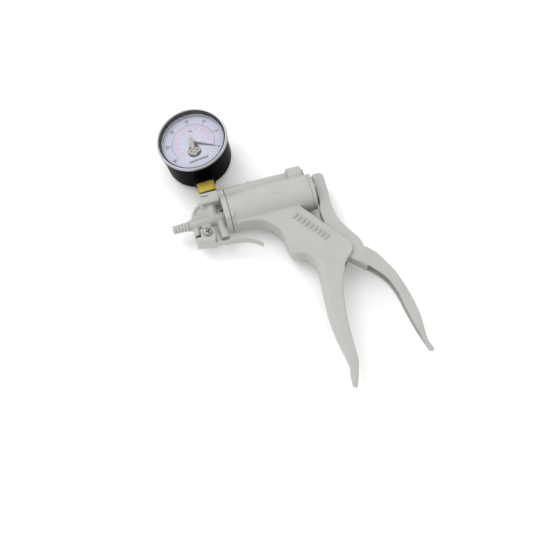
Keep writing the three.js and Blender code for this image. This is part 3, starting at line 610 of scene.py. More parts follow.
handleBox = boxOf("moving_handle")
handle = {
    "armHalfWidth": 5.2,
    "gripHalfWidth": 6.2,
    "gripTip": 3.0,
    "sideWall": 2.0,
    "backWall": 2.5,
    "cell": 0.6,
    "skin": 0.8,
    "eye": 7.6,
    "pinBore": 2.6,
    "rodSlot": 2.6,
    "slotLow": -14.0,
    "slotBehind": 4.2,
    "slotAbove": 4.5,
    "grooveHalf": 2.65,
    "grooveEnd": 3.2,
    "aboveAxis": 13.2,
    "collarGap": 1.8,
    "pinBehind": 2.3,
    "pinSwing": 26.0,
}
axisAbovePivot = -pivot[1]
armTop = axisAbovePivot + handle["aboveAxis"]
armFace = collarHigh[0] + handle["collarGap"] - pivot[0]
shoulder = (17.5, -3.3)
gripOuter = splined([
    shoulder, (21.1, -7), (25.1, -12.1), (28.9, -19.8), (33.2, -28.9), (36, -39.1), (38, -49),
    (39.4, -58.6), (40, -67.9), (39.7, -75.3), (39.1, -81.5), (38.8, -88.7), (40, -93.7), (41.2, -97)])
gripInner = splined([
    (39.4, -97.8), (37.6, -96.2), (36.2, -91.5), (34.7, -85.1), (33.1, -76.5), (31.7, -67.2),
    (30.7, -58.7), (29.8, -50.1), (28.3, -42.9), (25.5, -34.9), (21.3, -28.1), (15.7, -21.2), (10.5, -15)])
armRear = np.vstack([
    arcPoints((1.2, armTop - 4), 4, 90, 0, 8),
    splined([(4.9, axisAbovePivot + 1.1), (4.7, axisAbovePivot - 5), (3.8, axisAbovePivot - 14),
             (3.9, 36), (4.6, 30.2), (6.2, 24.2), (9, 18), (12.1, 12.3), (15.3, 6.9), (17, 1.9)])])
armFront = np.vstack([
    arcPoints((0, 0), handle["eye"], -110, -180, 8),
    [(-7.2, 8), (-6.6, 28.8), (-6.6, axisAbovePivot - 20.3), (armFace, axisAbovePivot - 12),
     (armFace, armTop - 2), (armFace + 2, armTop)]])
armOutline = aboutPivot(np.vstack([
    armRear, [shoulder], gripOuter[1:24],
    [(24, -24), (15.7, -21.2), (9.9, -14.4), (3.1, -8.2)], armFront]))


def handleLeaned(points):
    return leaned(aboutPivot(points), handle["gripHalfWidth"], handle["gripTip"])


wideOutline = handleLeaned(np.vstack([gripOuter[2:], gripInner, [(12.2, -9.6), (14.4, -4.6)]]))
wideBulk = handleLeaned(np.vstack([
    [(14.6, -4.0)], gripOuter[1:], [(40, -99)], [(25, -102), (-5, -40), (2, -16), (11.8, -9.0)]]))
channelOutline = handleLeaned(np.vstack([
    movedAside(gripOuter[10:-10], -handle["backWall"]),
    [(34.5, -86), (20, -90), (3, -40), (13.5, -20.5), (18.5, -15.5)]]))
rodPinX = armFace + handle["pinBehind"] + pivot[0]
# How far the pin travels in the groove
pinReach = axisAbovePivot / math.cos(math.radians(handle["pinSwing"])) - axisAbovePivot


def handleShape(place):
    h = handle
    arm = plate(place, armOutline, h["armHalfWidth"], 1.0)
    half = falling(place[1], h["gripHalfWidth"], h["gripTip"])
    wide = both(plate(place, wideOutline, half, 0.8), plate(place, wideBulk, half, 2.8), 0.3)
    arm = without(arm, plate(place, channelOutline, h["gripHalfWidth"], 0.2), 0.3)
    wide = without(wide, plate(place, channelOutline, half - h["sideWall"], 0.8), 0.4)
    whole = joined(arm, wide, 1.2)
    rodSlot = block(place, (pivot[0] + armFace - 4, h["slotLow"], -h["rodSlot"]),
                    (rodPinX + h["slotBehind"], pinReach + h["slotAbove"], h["rodSlot"]), 0.3)
    whole = without(whole, rodSlot, 0.3)
    groove = np.maximum(np.abs(place[0] - rodPinX) - h["grooveHalf"],
                        np.abs(place[1] - pinReach / 2) - pinReach / 2 - h["grooveEnd"])
    whole = without(whole, np.maximum(groove, place[2] - h["armHalfWidth"] + h["skin"]), 0.2)
    return without(whole, roundBar(place, "z", -20, 20, h["pinBore"], (pivot[0], pivot[1]), 0.1), 0.3)


mouldedPiece("squeezeHandle", handleShape, handleBox[0], handleBox[1], handle["cell"], "body", "handle",
             ("moving_handle",))
print("squeeze handle made")

# What repeats is grown by Geometry Nodes.


class Growth:  # a Geometry Nodes tree with named inputs
    def __init__(self, name, **sizes):
        self.tree = bpy.data.node_groups.new(name, "GeometryNodeTree")
        self.tree.interface.new_socket("Geometry", in_out="INPUT", socket_type="NodeSocketGeometry")
        kinds = {float: "NodeSocketFloat", int: "NodeSocketInt", tuple: "NodeSocketVector"}
        for label, value in sizes.items():
            made = self.tree.interface.new_socket(label, in_out="INPUT", socket_type=kinds[type(value)])
            made.default_value = value
        self.tree.interface.new_socket("Finish", in_out="INPUT", socket_type="NodeSocketMaterial")
        self.tree.interface.new_socket("Geometry", in_out="OUTPUT", socket_type="NodeSocketGeometry")
        self.inputs = self.tree.nodes.new("NodeGroupInput")

    def given(self, label):
        return Wire(self, self.inputs.outputs[label])

    def node(self, kind, settings=None, inputs=None, output=0):
        made = self.tree.nodes.new(kind)
        for key, value in (settings or {}).items():
            setattr(made, key, value)
        for key, value in (inputs or {}).items():
            for one in value if isinstance(value, list) else [value]:
                if isinstance(one, Wire):
                    self.tree.links.new(one.socket, made.inputs[key])
                else:
                    made.inputs[key].default_value = one
        return Wire(self, made.outputs[output])

    def vector(self, x=0.0, y=0.0, z=0.0):
        return self.node("ShaderNodeCombineXYZ", {}, {"X": x, "Y": y, "Z": z})

    def close(self, shape):
        real = self.node("GeometryNodeRealizeInstances", {}, {"Geometry": shape})
        painted = self.node("GeometryNodeSetMaterial", {}, {
            "Geometry": real, "Material": self.given("Finish")})
        end = self.tree.nodes.new("NodeGroupOutput")
        self.tree.links.new(painted.socket, end.inputs["Geometry"])

    # Gives a plain mesh, in metres about its own origin
    def grow(self, name, places, finish, sharpAngle=30, **sizes):
        seed = bpy.data.meshes.new(name)
        seed.from_pydata([tuple(np.array(p) / 1000) for p in places], [], [])
        holder = bpy.data.objects.new(name, seed)
        bpy.context.scene.collection.objects.link(holder)
        modifier = holder.modifiers.new("growth", "NODES")
        modifier.node_group = self.tree
        for item in self.tree.interface.items_tree:
            if item.in_out == "INPUT" and item.name in sizes:
                modifier[item.identifier] = sizes[item.name]
            if item.in_out == "INPUT" and item.name == "Finish":
                modifier[item.identifier] = finishes[finish]
        graph = bpy.context.evaluated_depsgraph_get()
        mesh = bpy.data.meshes.new_from_object(holder.evaluated_get(graph), depsgraph=graph)
        holder.modifiers.clear()
        bpy.data.objects.remove(holder)
        bpy.data.meshes.remove(seed)
        mesh.polygons.foreach_set("use_smooth", [True] * len(mesh.polygons))
        mesh.set_sharp_from_angle(angle=math.radians(sharpAngle))
        return mesh


def keepMesh(name, mesh, matrix, body, replaced=()):  # matrix is in the drawing's millimetres
    toMetres = Matrix.Translation(Vector(drawingOrigin) / 1000) @ matrix
    mesh.transform(toMetres)
    mesh.update()
    made = bpy.data.objects.new(name, mesh)
    bpy.context.scene.collection.objects.link(made)
    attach(made, body)
    if replaced:
        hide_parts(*replaced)
    return made


def setAt(x, y, z, turn=None):
    return Matrix.Translation(Vector((x, y, z)) / 1000) @ (turn or Matrix.Identity(4))


gaugeMatrix = setAt(0, gaugeCentre[1], 0, Matrix.Rotation(gaugeTwist, 4, "Y"))


def screwGrowth():  # domed heads with a cross recess, at each seed point, pointing up
    g = Growth("crossScrews", HeadRadius=0.003, HeadHeight=0.0015, Dome=0.0008, ShankRadius=0.0015,
               ShankLength=0.004, SlotLength=0.004, SlotWidth=0.0008, SlotDepth=0.001)
    head = g.node("GeometryNodeMeshCylinder", {"fill_type": "NGON"}, {
        "Vertices": 40, "Side Segments": 1, "Fill Segments": 1, "Radius": g.given("HeadRadius"),
        "Depth": g.given("HeadHeight")})
    ball = g.node("GeometryNodeMeshUVSphere", {}, {"Segments": 40, "Rings": 24, "Radius": 1.0})
    half = g.given("HeadHeight") * 0.5
    ballRadius = g.given("HeadRadius") * 1.12
    ball = g.node("GeometryNodeTransform", {}, {
        "Geometry": ball, "Scale": g.vector(ballRadius, ballRadius, half + g.given("Dome"))})
    head = g.node("GeometryNodeMeshBoolean", {"operation": "INTERSECT"}, {
        "Mesh 2": [g.node("GeometryNodeTransform", {}, {
            "Geometry": head, "Scale": (1.0, 1.0, 2.0)}), ball]})
    slots = []
    long, wide = g.given("SlotLength"), g.given("SlotWidth")
    for x, y in ((long, wide), (wide, long)):
        bar = g.node("GeometryNodeMeshCube", {}, {"Size": g.vector(x, y, g.given("SlotDepth") * 2.0)})
        slots.append(g.node("GeometryNodeTransform", {}, {
            "Geometry": bar, "Translation": g.vector(0.0, 0.0, half + g.given("Dome"))}))
    head = g.node("GeometryNodeMeshBoolean", {"operation": "DIFFERENCE"}, {
        "Mesh 1": head, "Mesh 2": slots})
    shank = g.node("GeometryNodeMeshCylinder", {}, {
        "Vertices": 24, "Radius": g.given("ShankRadius"), "Depth": g.given("ShankLength")})
    shank = g.node("GeometryNodeTransform", {}, {
        "Geometry": shank, "Translation": g.vector(0.0, 0.0, (g.given("ShankLength") + half) * -0.5)})
    screw = g.node("GeometryNodeMeshBoolean", {"operation": "UNION"}, {"Mesh 2": [head, shank]})
    g.close(g.node("GeometryNodeInstanceOnPoints", {}, {
        "Points": g.given("Geometry"), "Instance": screw}))
    return g


def screwSizes(head, dome=0.1):  # the tree's inputs, in metres
    return {
        "HeadRadius": head["radius"] / 1000, "HeadHeight": head["height"] / 1000, "Dome": dome / 1000,
        "ShankRadius": head["shank"] / 1000, "ShankLength": head["length"] / 1000,
        "SlotLength": head["slot"][0] / 1000, "SlotWidth": head["slot"][1] / 1000,
        "SlotDepth": head["slot"][2] / 1000,
    }


def tickGrowth():  # bars round an arc, each along its radius
    g = Growth("arcTicks", Count=10, FirstAngle=0.0, StepAngle=0.1, Radius=0.02, Long=0.002, Wide=0.0002,
               Thick=0.0001)
    index = g.node("GeometryNodeInputIndex")
    angle = g.given("FirstAngle") + g.given("StepAngle") * index
    across = g.node("ShaderNodeMath", {"operation": "COSINE"}, {0: angle}) * g.given("Radius")
    up = g.node("ShaderNodeMath", {"operation": "SINE"}, {0: angle}) * g.given("Radius")
    points = g.node("GeometryNodePoints", {}, {
        "Count": g.given("Count"), "Position": g.vector(across, up)})
    bar = g.node("GeometryNodeMeshCube", {}, {
        "Size": g.vector(g.given("Long"), g.given("Wide"), g.given("Thick"))})
    turn = g.node("FunctionNodeEulerToRotation", {}, {"Euler": g.vector(0.0, 0.0, angle)})
    g.close(g.node("GeometryNodeInstanceOnPoints", {}, {
        "Points": points, "Instance": bar, "Rotation": turn}))
    return g


def beadGrowth():  # a row of smooth raised bars
    g = Growth("raisedBars", Count=6, Step=(0.003, 0.0, 0.0), Size=(0.001, 0.003, 0.0005), Tilt=0.0)
    row = g.node("GeometryNodeMeshLine", {}, {"Count": g.given("Count"), "Offset": g.given("Step")})
    bead = g.node("GeometryNodeMeshUVSphere", {}, {"Segments": 28, "Rings": 14, "Radius": 1.0})
    bead = g.node("GeometryNodeTransform", {}, {"Geometry": bead, "Scale": g.given("Size")})
    turn = g.node("FunctionNodeEulerToRotation", {}, {"Euler": g.vector(0.0, 0.0, g.given("Tilt"))})
    g.close(g.node("GeometryNodeInstanceOnPoints", {}, {
        "Points": row, "Instance": bead, "Rotation": turn}))
    return g


def coilGrowth():  # a round wire wound along z
    g = Growth("woundWire", Turns=9.0, CoilRadius=0.007, Length=0.05, WireRadius=0.0007)
    coil = g.node("GeometryNodeCurveSpiral", {}, {
        "Resolution": 36, "Rotations": g.given("Turns"), "Start Radius": g.given("CoilRadius"),
        "End Radius": g.given("CoilRadius"), "Height": g.given("Length")})
    section = g.node("GeometryNodeCurvePrimitiveCircle", {}, {
        "Resolution": 14, "Radius": g.given("WireRadius")})
    g.close(g.node("GeometryNodeCurveToMesh", {}, {
        "Curve": coil, "Profile Curve": section, "Fill Caps": True}))
    return g


# Collar that closes the barrel
collar = {"hole": 3.4, "rim": 2.2, "sink": 0.7, "clearance": 0.4, "eyeRim": 2.2, "slope": 0.3}
collarRear = collarHigh[0]
spigotRadius = body["radius"] - body["wall"] - collar["clearance"]
rimInner = body["radius"] - collar["rim"]
eyeOuter = collar["hole"] + collar["eyeRim"]
sinkFloor = collarRear - collar["sink"]
turnedPiece("barrelCollar", filleted([
    (collar["hole"], collarLow[0]), (spigotRadius, collarLow[0]), (spigotRadius, body["rear"]),
    (body["radius"], body["rear"]), (body["radius"], collarRear), (rimInner, collarRear),
    (rimInner - collar["slope"], sinkFloor), (eyeOuter + collar["slope"], sinkFloor),
    (eyeOuter, collarRear), (collar["hole"], collarRear)], 0.45, 4, closed=True),
    "x", (0, 0, 0), "body", "frame", ("barrel_collar",), 128, closed=True, sharpAngle=40)

# Plug of the top tube, cut round where it passes the barrel
tubePlug = {"seatGap": 0.25, "clearance": 0.3, "recess": 2.4, "recessDeep": 0.6, "cell": 0.35}


def plugShape(place):
    t = tubePlug
    tubeAt = (body["tubeHeight"], 0)
    rear = body["bossRear"]
    spigotRadius = body["tubeBore"] - t["clearance"]
    disc = roundBar(place, "x", rear + t["seatGap"], plugHigh[0], body["tubeRadius"], tubeAt, 0.5)
    spigot = roundBar(place, "x", plugLow[0], rear + 0.8, spigotRadius, tubeAt, 0.3)
    recess = roundBar(place, "x", plugHigh[0] - t["recessDeep"], plugHigh[0] + 3, t["recess"], tubeAt, 0.2)
    barrel = roundBar(place, "x", 0, 100, body["radius"] + t["clearance"], (0, 0), 0.2)
    return without(without(joined(disc, spigot, 0.2), recess, 0.2), barrel, 0.2)


mouldedPiece("topTubePlug", plugShape, plugLow, plugHigh, tubePlug["cell"], "body", "frame",
             ("top_tube_plug",))

# Black rubber block between the side plates, under the collar, that the arm rests on; its black is painted
# shade for the deep gap there
shadeBuffer = {"from": 72.0, "to": pivot[0] - 6.8, "low": -27.0, "high": -15.9, "half": 5.4, "step": 1.6,
          "cell": 0.4}


def shadeBufferShape(place):
    b = shadeBuffer
    top = b["half"] - b["step"]
    whole = block(place, (b["from"], b["low"], -b["half"]), (b["to"], b["high"], top), 0.6)
    return both(whole, plate(place, frameOutline, 20, 0.1), 0.3)


mouldedPiece("shadeRestBuffer", shadeBufferShape, (shadeBuffer["from"], shadeBuffer["low"], -shadeBuffer["half"]),
             (shadeBuffer["to"], shadeBuffer["high"], shadeBuffer["half"]), shadeBuffer["cell"], "rubber", "frame", ())

# Raised bars on the frame's side, in place of lettering
bars = {"count": 9, "from": (61.8, -21.4), "to": (80.4, -45.6), "long": 3.3, "wide": 0.75, "high": 1.6}
barStep = (np.array(bars["to"]) - np.array(bars["from"])) / (bars["count"] - 1)
barTilt = math.atan2(barStep[1], barStep[0])
barSize = (bars["wide"] / 1000, bars["long"] / 1000, bars["high"] / 1000)
barMesh = beadGrowth().grow("sideBars", [(0, 0, 0)], "body", Count=bars["count"],
                            Step=(*(barStep / 1000), 0.0), Size=barSize, Tilt=barTilt)
keepMesh("sideBars", barMesh, setAt(*bars["from"], body["plateHalfWidth"]), "frame", ())

# Front manifold
manifoldBox = boxOf("front_manifold")
port = {
    "front": 7.6, "flange": 3.7, "flangeRadius": 15.4, "topRadius": 6.4, "screwBoss": 3.4,
    "block": 7.5, "blockLow": 9.4, "blockTop": 19.6, "riser": 4.5, "riserX": -1.0,
    "inlet": 4.7, "inletY": -3.0, "plugHole": 2.9, "outlet": 3.8, "outletX": 4.0,
    "vent": 2.6, "ventX": -16.6,
    "gusset": 2.4, "recess": 1.1, "lug": 3.0, "lugRound": 3.5, "cell": 0.36, "fillet": 0.9,
    "gasketCover": 0.6, "rimWidth": 1.7, "rimDeep": 0.7, "web": 5.0, "stemHole": 5.1, "screwHole": 1.7,
    "plugDeep": 7.2, "capDeep": 5.6, "capWall": 1.1,
}
pits = {"count": 3, "radius": 0.65, "from": (-6.0, 16.6), "step": (1.9, -0.3), "deep": 2.4}
port["inletFront"] = manifoldBox[0][0]
port["outletLow"] = manifoldBox[0][1]
port["ventLow"] = port["inletY"] - port["inlet"] - 6.4
gussetOutline = np.vstack([
    [(2, port["blockLow"] + 1), (-7, port["blockLow"] + 4.5)],
    arcPoints((-3.5, -0.5), 15.2, 108, 172, 20), [(2, port["inletY"])]])
gussetRecess = np.vstack([
    arcPoints((-3.5, -0.5), 13, 120, 158, 14),
    [(-6.4, port["inletY"] + port["inlet"] + 1.2), (-6.4, port["blockLow"] - 1.2),
     (-8, port["blockLow"] - 0.6)]])


def manifoldShape(place):
    p = port
    soft = p["fillet"]
    back = p["front"] + p["flange"] + p["gasketCover"]
    whole = roundBar(place, "x", p["front"], back, p["flangeRadius"], (0, 0), 0.5)
    top = roundBar(place, "x", p["front"], back, p["topRadius"], (body["tubeHeight"], 0), 0.5)
    whole = joined(whole, top, 0.8)
    for screwAt in screwPlaces:
        whole = joined(whole, roundBar(place, "x", p["front"], back, p["screwBoss"], screwAt, 0.5), 0.5)
    faceRadius = p["flangeRadius"] - p["rimWidth"]
    face = roundBar(place, "x", p["front"] - 2, p["front"] + p["rimDeep"], faceRadius, (0, 0), 0.3)
    whole = without(whole, face, 0.3)
    web = block(place, (0, p["blockLow"], -p["web"]), (p["front"] + 1, p["blockTop"] - 1, p["web"]), 0.6)
    whole = joined(whole, web, soft)
    inlet = roundBar(place, "x", p["inletFront"], p["front"] + 1, p["inlet"], (p["inletY"], 0), 0.7)
    riser = roundBar(place, "y", p["inletY"], p["blockLow"] + 1, p["riser"], (p["riserX"], 0), 0.4)
    whole = joined(joined(whole, inlet, soft), riser, soft)
    whole = joined(whole, plate(place, gussetOutline, p["gusset"], 0.6), 0.7)
    lug = np.minimum(
        block(place, (leverPivot[0] - p["lugRound"], leverPivot[1], -p["lug"]),
              (leverPivot[0] + p["lugRound"], p["inletY"], p["lug"]), 0.3),
        roundBar(place, "z", -p["lug"], p["lug"], p["lugRound"], leverPivot[:2], 0.3))
    whole = joined(whole, lug, 0.8)
    outlet = roundBar(place, "y", p["outletLow"], p["inletY"], p["outlet"], (p["outletX"], 0), 0.5)
    whole = joined(whole, outlet, soft)
    vent = roundBar(place, "y", p["ventLow"], p["inletY"], p["vent"], (p["ventX"], 0), 0.3)
    whole = joined(whole, vent, 0.8)
    sinkHalf = 1.6
    for side in (-1, 1):
        sink = plate(place, gussetRecess, sinkHalf, 0.3, side * (p["gusset"] - p["recess"] + sinkHalf))
        whole = without(whole, sink, 0.5)
    half = p["block"]
    head = block(place, (-half, p["blockLow"], -half), (half, p["blockTop"], half), 1.3)
    for i in range(pits["count"]):
        pitAt = (pits["from"][0] + pits["step"][0] * i, pits["from"][1] + pits["step"][1] * i)
        head = without(head, roundBar(place, "z", half - pits["deep"], 12, pits["radius"], pitAt, 0.1), 0.1)
    whole = joined(whole, head, 0.3)
    holes = [
        roundBar(place, "y", p["blockLow"] + 2, p["blockTop"] + 2, p["stemHole"], (0, 0), 0.1),
        roundBar(place, "x", p["inletFront"] - 2, p["inletFront"] + p["plugDeep"], p["plugHole"],
                 (p["inletY"], 0), 0.1),
        roundBar(place, "y", p["outletLow"] - 2, p["outletLow"] + p["capDeep"], p["outlet"] - p["capWall"],
                 (p["outletX"], 0), 0.1),
        roundBar(place, "z", -5, 5, p["screwHole"], leverPivot[:2], 0.1),
    ]
    for hole in holes:
        whole = without(whole, hole, 0.2)
    return whole


mouldedPiece("frontManifold", manifoldShape, manifoldBox[0], manifoldBox[1], port["cell"], "body", "frame",
             ("front_manifold",))
print("front manifold made")

gasketLow, gasketHigh = boxOf("manifold_gasket")
gasket = {"outer": gasketHigh[2], "inner": gasketHigh[2] - 3.4}
turnedPiece("manifoldGasket", filleted([
    (gasket["inner"], gasketLow[0]), (gasket["outer"], gasketLow[0]), (gasket["outer"], gasketHigh[0]),
    (gasket["inner"], gasketHigh[0])], 0.2, 3, closed=True), "x", (0, 0, 0), "gasket", "frame",
    ("manifold_gasket",), 96, closed=True)

# Screws of the flange and the lever
screws = screwGrowth()
screwTurn = Matrix.Rotation(math.radians(-90), 4, "Y")
flangeHead = {"radius": 2.8, "height": 1.7, "length": 5.0, "shank": 1.5, "slot": (3.4, 0.7, 0.8)}
flangeX = boxOf("flange_screw_1")[0][0] + flangeHead["height"] / 2
spots = [screwTurn.inverted() @ Vector((flangeX, y, z)) for y, z in screwPlaces]
flangeMesh = screws.grow("flangeScrews", spots, "steel", **screwSizes(flangeHead))
keepMesh("flangeScrews", flangeMesh, screwTurn, "frame",
         ("flange_screw_1", "flange_screw_2", "flange_screw_3"))
leverScrewTop = boxOf("lever_screw")[1][2]
leverHead = {"radius": 3.4, "height": 1.6, "length": 14.0, "shank": 1.6, "slot": (4.8, 1.1, 1.2),
             "turn": 20}
leverHeadPlace = setAt(leverPivot[0], leverPivot[1], leverScrewTop - leverHead["height"] / 2,
                       Matrix.Rotation(math.radians(leverHead["turn"]), 4, "Z"))
leverMesh = screws.grow("leverScrew", [(0, 0, 0)], "steel", **screwSizes(leverHead))
keepMesh("leverScrew", leverMesh, leverHeadPlace, "frame", ("lever_screw",))

# Hose barb and the caps of the small tubes
barb = {"length": 14.3, "back": 4.0, "tip": 3.7, "count": 5, "bore": 1.6, "shoulder": 4.3, "plug": 2.6,
        "shoulderLong": 0.8, "plain": 1.5, "valley": 0.95, "nose": 0.7, "lead": 0.4}
barbLow, barbHigh = boxOf("inlet_barb")
barbBack = barbLow[0] + barb["length"]
ribPitch = (barb["length"] - barb["plain"]) / barb["count"]
barbLine = [(barb["bore"], barbLow[0]), (barb["tip"] - barb["nose"], barbLow[0])]
for i in range(barb["count"]):
    start = barbLow[0] + barb["lead"] + i * ribPitch
    rib = barb["tip"] + (barb["back"] - barb["tip"]) * i / (barb["count"] - 1)
    barbLine += [(rib, start + ribPitch * 0.5), (rib, start + ribPitch * 0.78),
                 (rib - barb["valley"], start + ribPitch * 0.88)]
barbLine += [(barb["shoulder"], barbBack - barb["shoulderLong"]), (barb["shoulder"], barbBack),
             (barb["plug"], barbBack), (barb["plug"], barbHigh[0]), (barb["bore"], barbHigh[0])]
turnedPiece("hoseBarb", filleted(barbLine, 0.28, 3, closed=True), "x", (0, port["inletY"], 0), "body",
            "frame", ("inlet_barb",), 72, closed=True, sharpAngle=50)
capLow, capHigh = boxOf("outlet_cap")
cap = {"radius": 2.5, "hole": 1.0}
turnedPiece("outletCap", filleted([
    (cap["hole"], capLow[1]), (cap["radius"], capLow[1]), (cap["radius"], capHigh[1]),
    (cap["hole"], capHigh[1])], 0.3, 3, closed=True), "y",
    (port["outletX"], 0, 0), "body", "frame", ("outlet_cap",), 48, closed=True)

# Release lever
leverBox = boxOf("release_lever")
lever = {"half": 7.0, "cheek": 1.8, "strip": 3.4, "thick": 1.4, "eye": 5.9, "round": 1.8, "cell": 0.36,
         "sink": 4.3, "sinkDeep": 0.35, "screwHole": 1.75}
stripLower = splined([
    (-18.8, -22.2), (-10, -23.4), (-2, -25.2), (6, -26), (13.6, -27), (20, -28.4), (26, -31.2),
    (30.8, -35.4)], 6)
stripUpper = movedAside(stripLower, lever["thick"])[::-1]
stripOutline = np.vstack([stripLower, stripUpper])
trayCount = 11  # points of the strip under the cheeks
trayInside = np.vstack([
    stripUpper[-trayCount - 4:-8], [(-14.6, -21.2), (-14.6, -17.6), (-20, -17.6), (-20, 0), (6, 0)]])
cheekOutline = np.vstack([
    stripLower[:trayCount], [(leverPivot[0] + lever["eye"] - 0.4, -21.5)],
    arcPoints(leverPivot[:2], lever["eye"], 0, 180, 24),
    [(leverPivot[0] - lever["eye"], -17.5), (-18.6, -17.6)]])


def leverShape(place):
    v = lever
    strip = plate(place, stripOutline, v["strip"], 0.7)
    shell = plate(place, cheekOutline, v["half"], v["round"])
    inside = plate(place, trayInside, v["half"] - v["cheek"], 0.5)
    whole = joined(strip, without(shell, inside, 0.4), 0.9)
    sink = roundBar(place, "z", v["half"] - v["sinkDeep"], v["half"] + 2, v["sink"], leverPivot[:2], 0.1)
    whole = without(whole, sink, 0.2)
    return without(whole, roundBar(place, "z", -20, 20, v["screwHole"], leverPivot[:2], 0.1), 0.2)


mouldedPiece("releaseLever", leverShape, leverBox[0], leverBox[1], lever["cell"], "body", "lever",
             ("release_lever",))
padLow, padHigh = boxOf("release_pad")
padRadius = (padHigh[0] - padLow[0]) / 2
turnedPiece("releasePad", filleted([
    (0, padLow[1]), (padRadius, padLow[1]), (padRadius, padHigh[1]), (0, padHigh[1])], 0.4, 4), "y",
    ((padLow[0] + padHigh[0]) / 2, 0, 0), "rubber", "lever", ("release_pad",), 48)
print("lever made")

# Piston rod, pins and springs
rodLow, rodHigh = boxOf("piston_rod")
rod = {"radius": 3.0, "tail": 2.2, "eye": 3.5, "pin": 2.0, "cell": 0.45}


def rodShape(place):
    r = rod
    shaft = roundBar(place, "x", rodLow[0], collarRear + 1.3, r["radius"], (0, 0), 0.4)
    tail = block(place, (collarRear + 0.3, -r["radius"], -r["tail"]), (rodPinX, r["radius"], r["tail"]), 0.3)
    eye = roundBar(place, "z", -r["tail"], r["tail"], r["eye"], (rodPinX, 0), 0.4)
    whole = joined(shaft, np.minimum(tail, eye), 0.5)
    return without(whole, roundBar(place, "z", -6, 6, r["pin"] + 0.1, (rodPinX, 0), 0.1), 0.2)


mouldedPiece("pistonRod", rodShape, rodLow, rodHigh, rod["cell"], "steel", "piston", ("piston_rod",))


def pinPiece(name, node, radius, body, chamfer=0.5):
    low, high = boxOf(node)
    endRadius = radius - chamfer * 0.4
    profile = filleted([
        (0, low[2]), (endRadius, low[2]), (radius, low[2] + chamfer), (radius, high[2] - chamfer),
        (endRadius, high[2]), (0, high[2])], 0.25, 3)
    centre = ((low[0] + high[0]) / 2, (low[1] + high[1]) / 2, 0)
    turnedPiece(name, profile, "z", centre, "steel", body, (node,), 48)


pinPiece("rodPin", "rod_pin", rod["pin"], "piston")
pivotPinRadius = 2.5
pinPiece("handlePivotPin", "handle_pivot_pin", pivotPinRadius, "frame")

coils = coilGrowth()
spring = {"turns": 9.0, "radius": 7.0, "wire": 0.7}
smallSpring = {"turns": 1.5, "radius": 2.6, "wire": 0.3}


def coilSizes(sizes, length):
    return {
        "Turns": sizes["turns"], "CoilRadius": sizes["radius"] / 1000, "WireRadius": sizes["wire"] / 1000,
        "Length": (length - 2 * sizes["wire"]) / 1000}


springLow, springHigh = boxOf("return_spring")
springSizes = coilSizes(spring, springHigh[0] - springLow[0])
springMesh = coils.grow("returnSpring", [], "spring", 180, **springSizes)
springPlace = setAt(springLow[0] + spring["wire"], 0, 0, Matrix.Rotation(math.radians(90), 4, "Y"))
returnSpring = keepMesh("returnSpring", springMesh, springPlace, "frame", ("return_spring",))
stroke = joints["piston_stroke"]["range_m"][1] * 1000
1 - stroke / (springHigh[0] - springLow[0])
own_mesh(returnSpring)
smallLow, smallHigh = boxOf("lever_spring")
smallSizes = coilSizes(smallSpring, smallHigh[2] - smallLow[2])
smallMesh = coils.grow("leverSpring", [], "spring", 180, **smallSizes)
keepMesh("leverSpring", smallMesh, setAt(*leverPivot[:2], smallLow[2] + smallSpring["wire"]), "frame",
         ("lever_spring",))
print("pins and springs made")

# Gauge, in millimetres about its own axis, with its stem along -y
gauge = {
    "radius": 27.7, "back": -12.0, "wall": 1.4, "boss": 8.5, "bossCell": 0.36,
    "bezel": 29.3, "bezelBack": 14.2, "bezelFront": 22.4, "lip": 2.0, "ringBack": 19.6,
    "dialRadius": 25.4, "dialFront": 15.4, "dialThick": 0.8,
    "needleAngle": -27.0, "scaleSweep": 240.0,
}
lens = {"low": 18.5, "high": 20.3, "seal": [(26.0, 20.35), (27.25, 20.35), (27.2, 21.1), (26.2, 20.95)]}
lensRing = {"inner": 25.1, "slope": 0.4, "low": 15.8, "high": 18.1, "gap": 0.25}
stem = {"flats": 14.0, "flatsHigh": 9.6, "neck": 5.0, "bottom": 20.6, "thread": 4.8, "threadLong": 8.0,
        "crop": 1.33, "cell": 0.36}
g = gauge
onAxis = (0, 0, 0)


def gaugeTurned(name, profile, finish, replaced=(), segments=160, closed=False, sharpAngle=None,
                body="frame", centre=onAxis):
    return turnedPiece(name, profile, "z", centre, finish, body, replaced, segments, closed, True,
                       sharpAngle)


canInside = g["radius"] - g["wall"]
canFloor = g["back"] + g["wall"] + 0.6
rearPanel = {"radius": 14.0, "step": 0.5}  # a low disc on the can's back
panelStep = g["back"] + rearPanel["step"]
gaugeTurned("gaugeCan", filleted([
    (0, g["back"]), (rearPanel["radius"], g["back"]), (rearPanel["radius"] + 0.6, panelStep),
    (g["radius"] - 3.2, panelStep), (g["radius"] - 0.6, g["back"] + 1.3), (g["radius"], g["back"] + 4.2),
    (g["radius"], g["bezelBack"] - 0.6), (g["bezel"] - 0.5, g["bezelBack"] + 0.6),
    (g["bezel"] - 0.5, g["ringBack"]), (canInside, g["ringBack"]), (canInside, canFloor + 0.6),
    (canInside - 2, canFloor), (0, canFloor)], 1.2, 6), "black", ("gauge_case",), 192)


def bossShape(place):  # sleeve on the can round the stem
    low = stem["bottom"] + stem["flatsHigh"] + 0.3 - gaugeCentre[1]
    sleeve = roundBar(place, "y", low, -20, g["boss"], (0, 0), 0.9)
    canBody = roundBar(place, "z", -30, 40, g["radius"] - 0.5, (0, 0), 0.1)
    sleeve = without(sleeve, canBody, 0.1)
    return without(sleeve, roundBar(place, "y", low - 2, -10, stem["neck"] + 0.25, (0, 0), 0.1), 0.2)


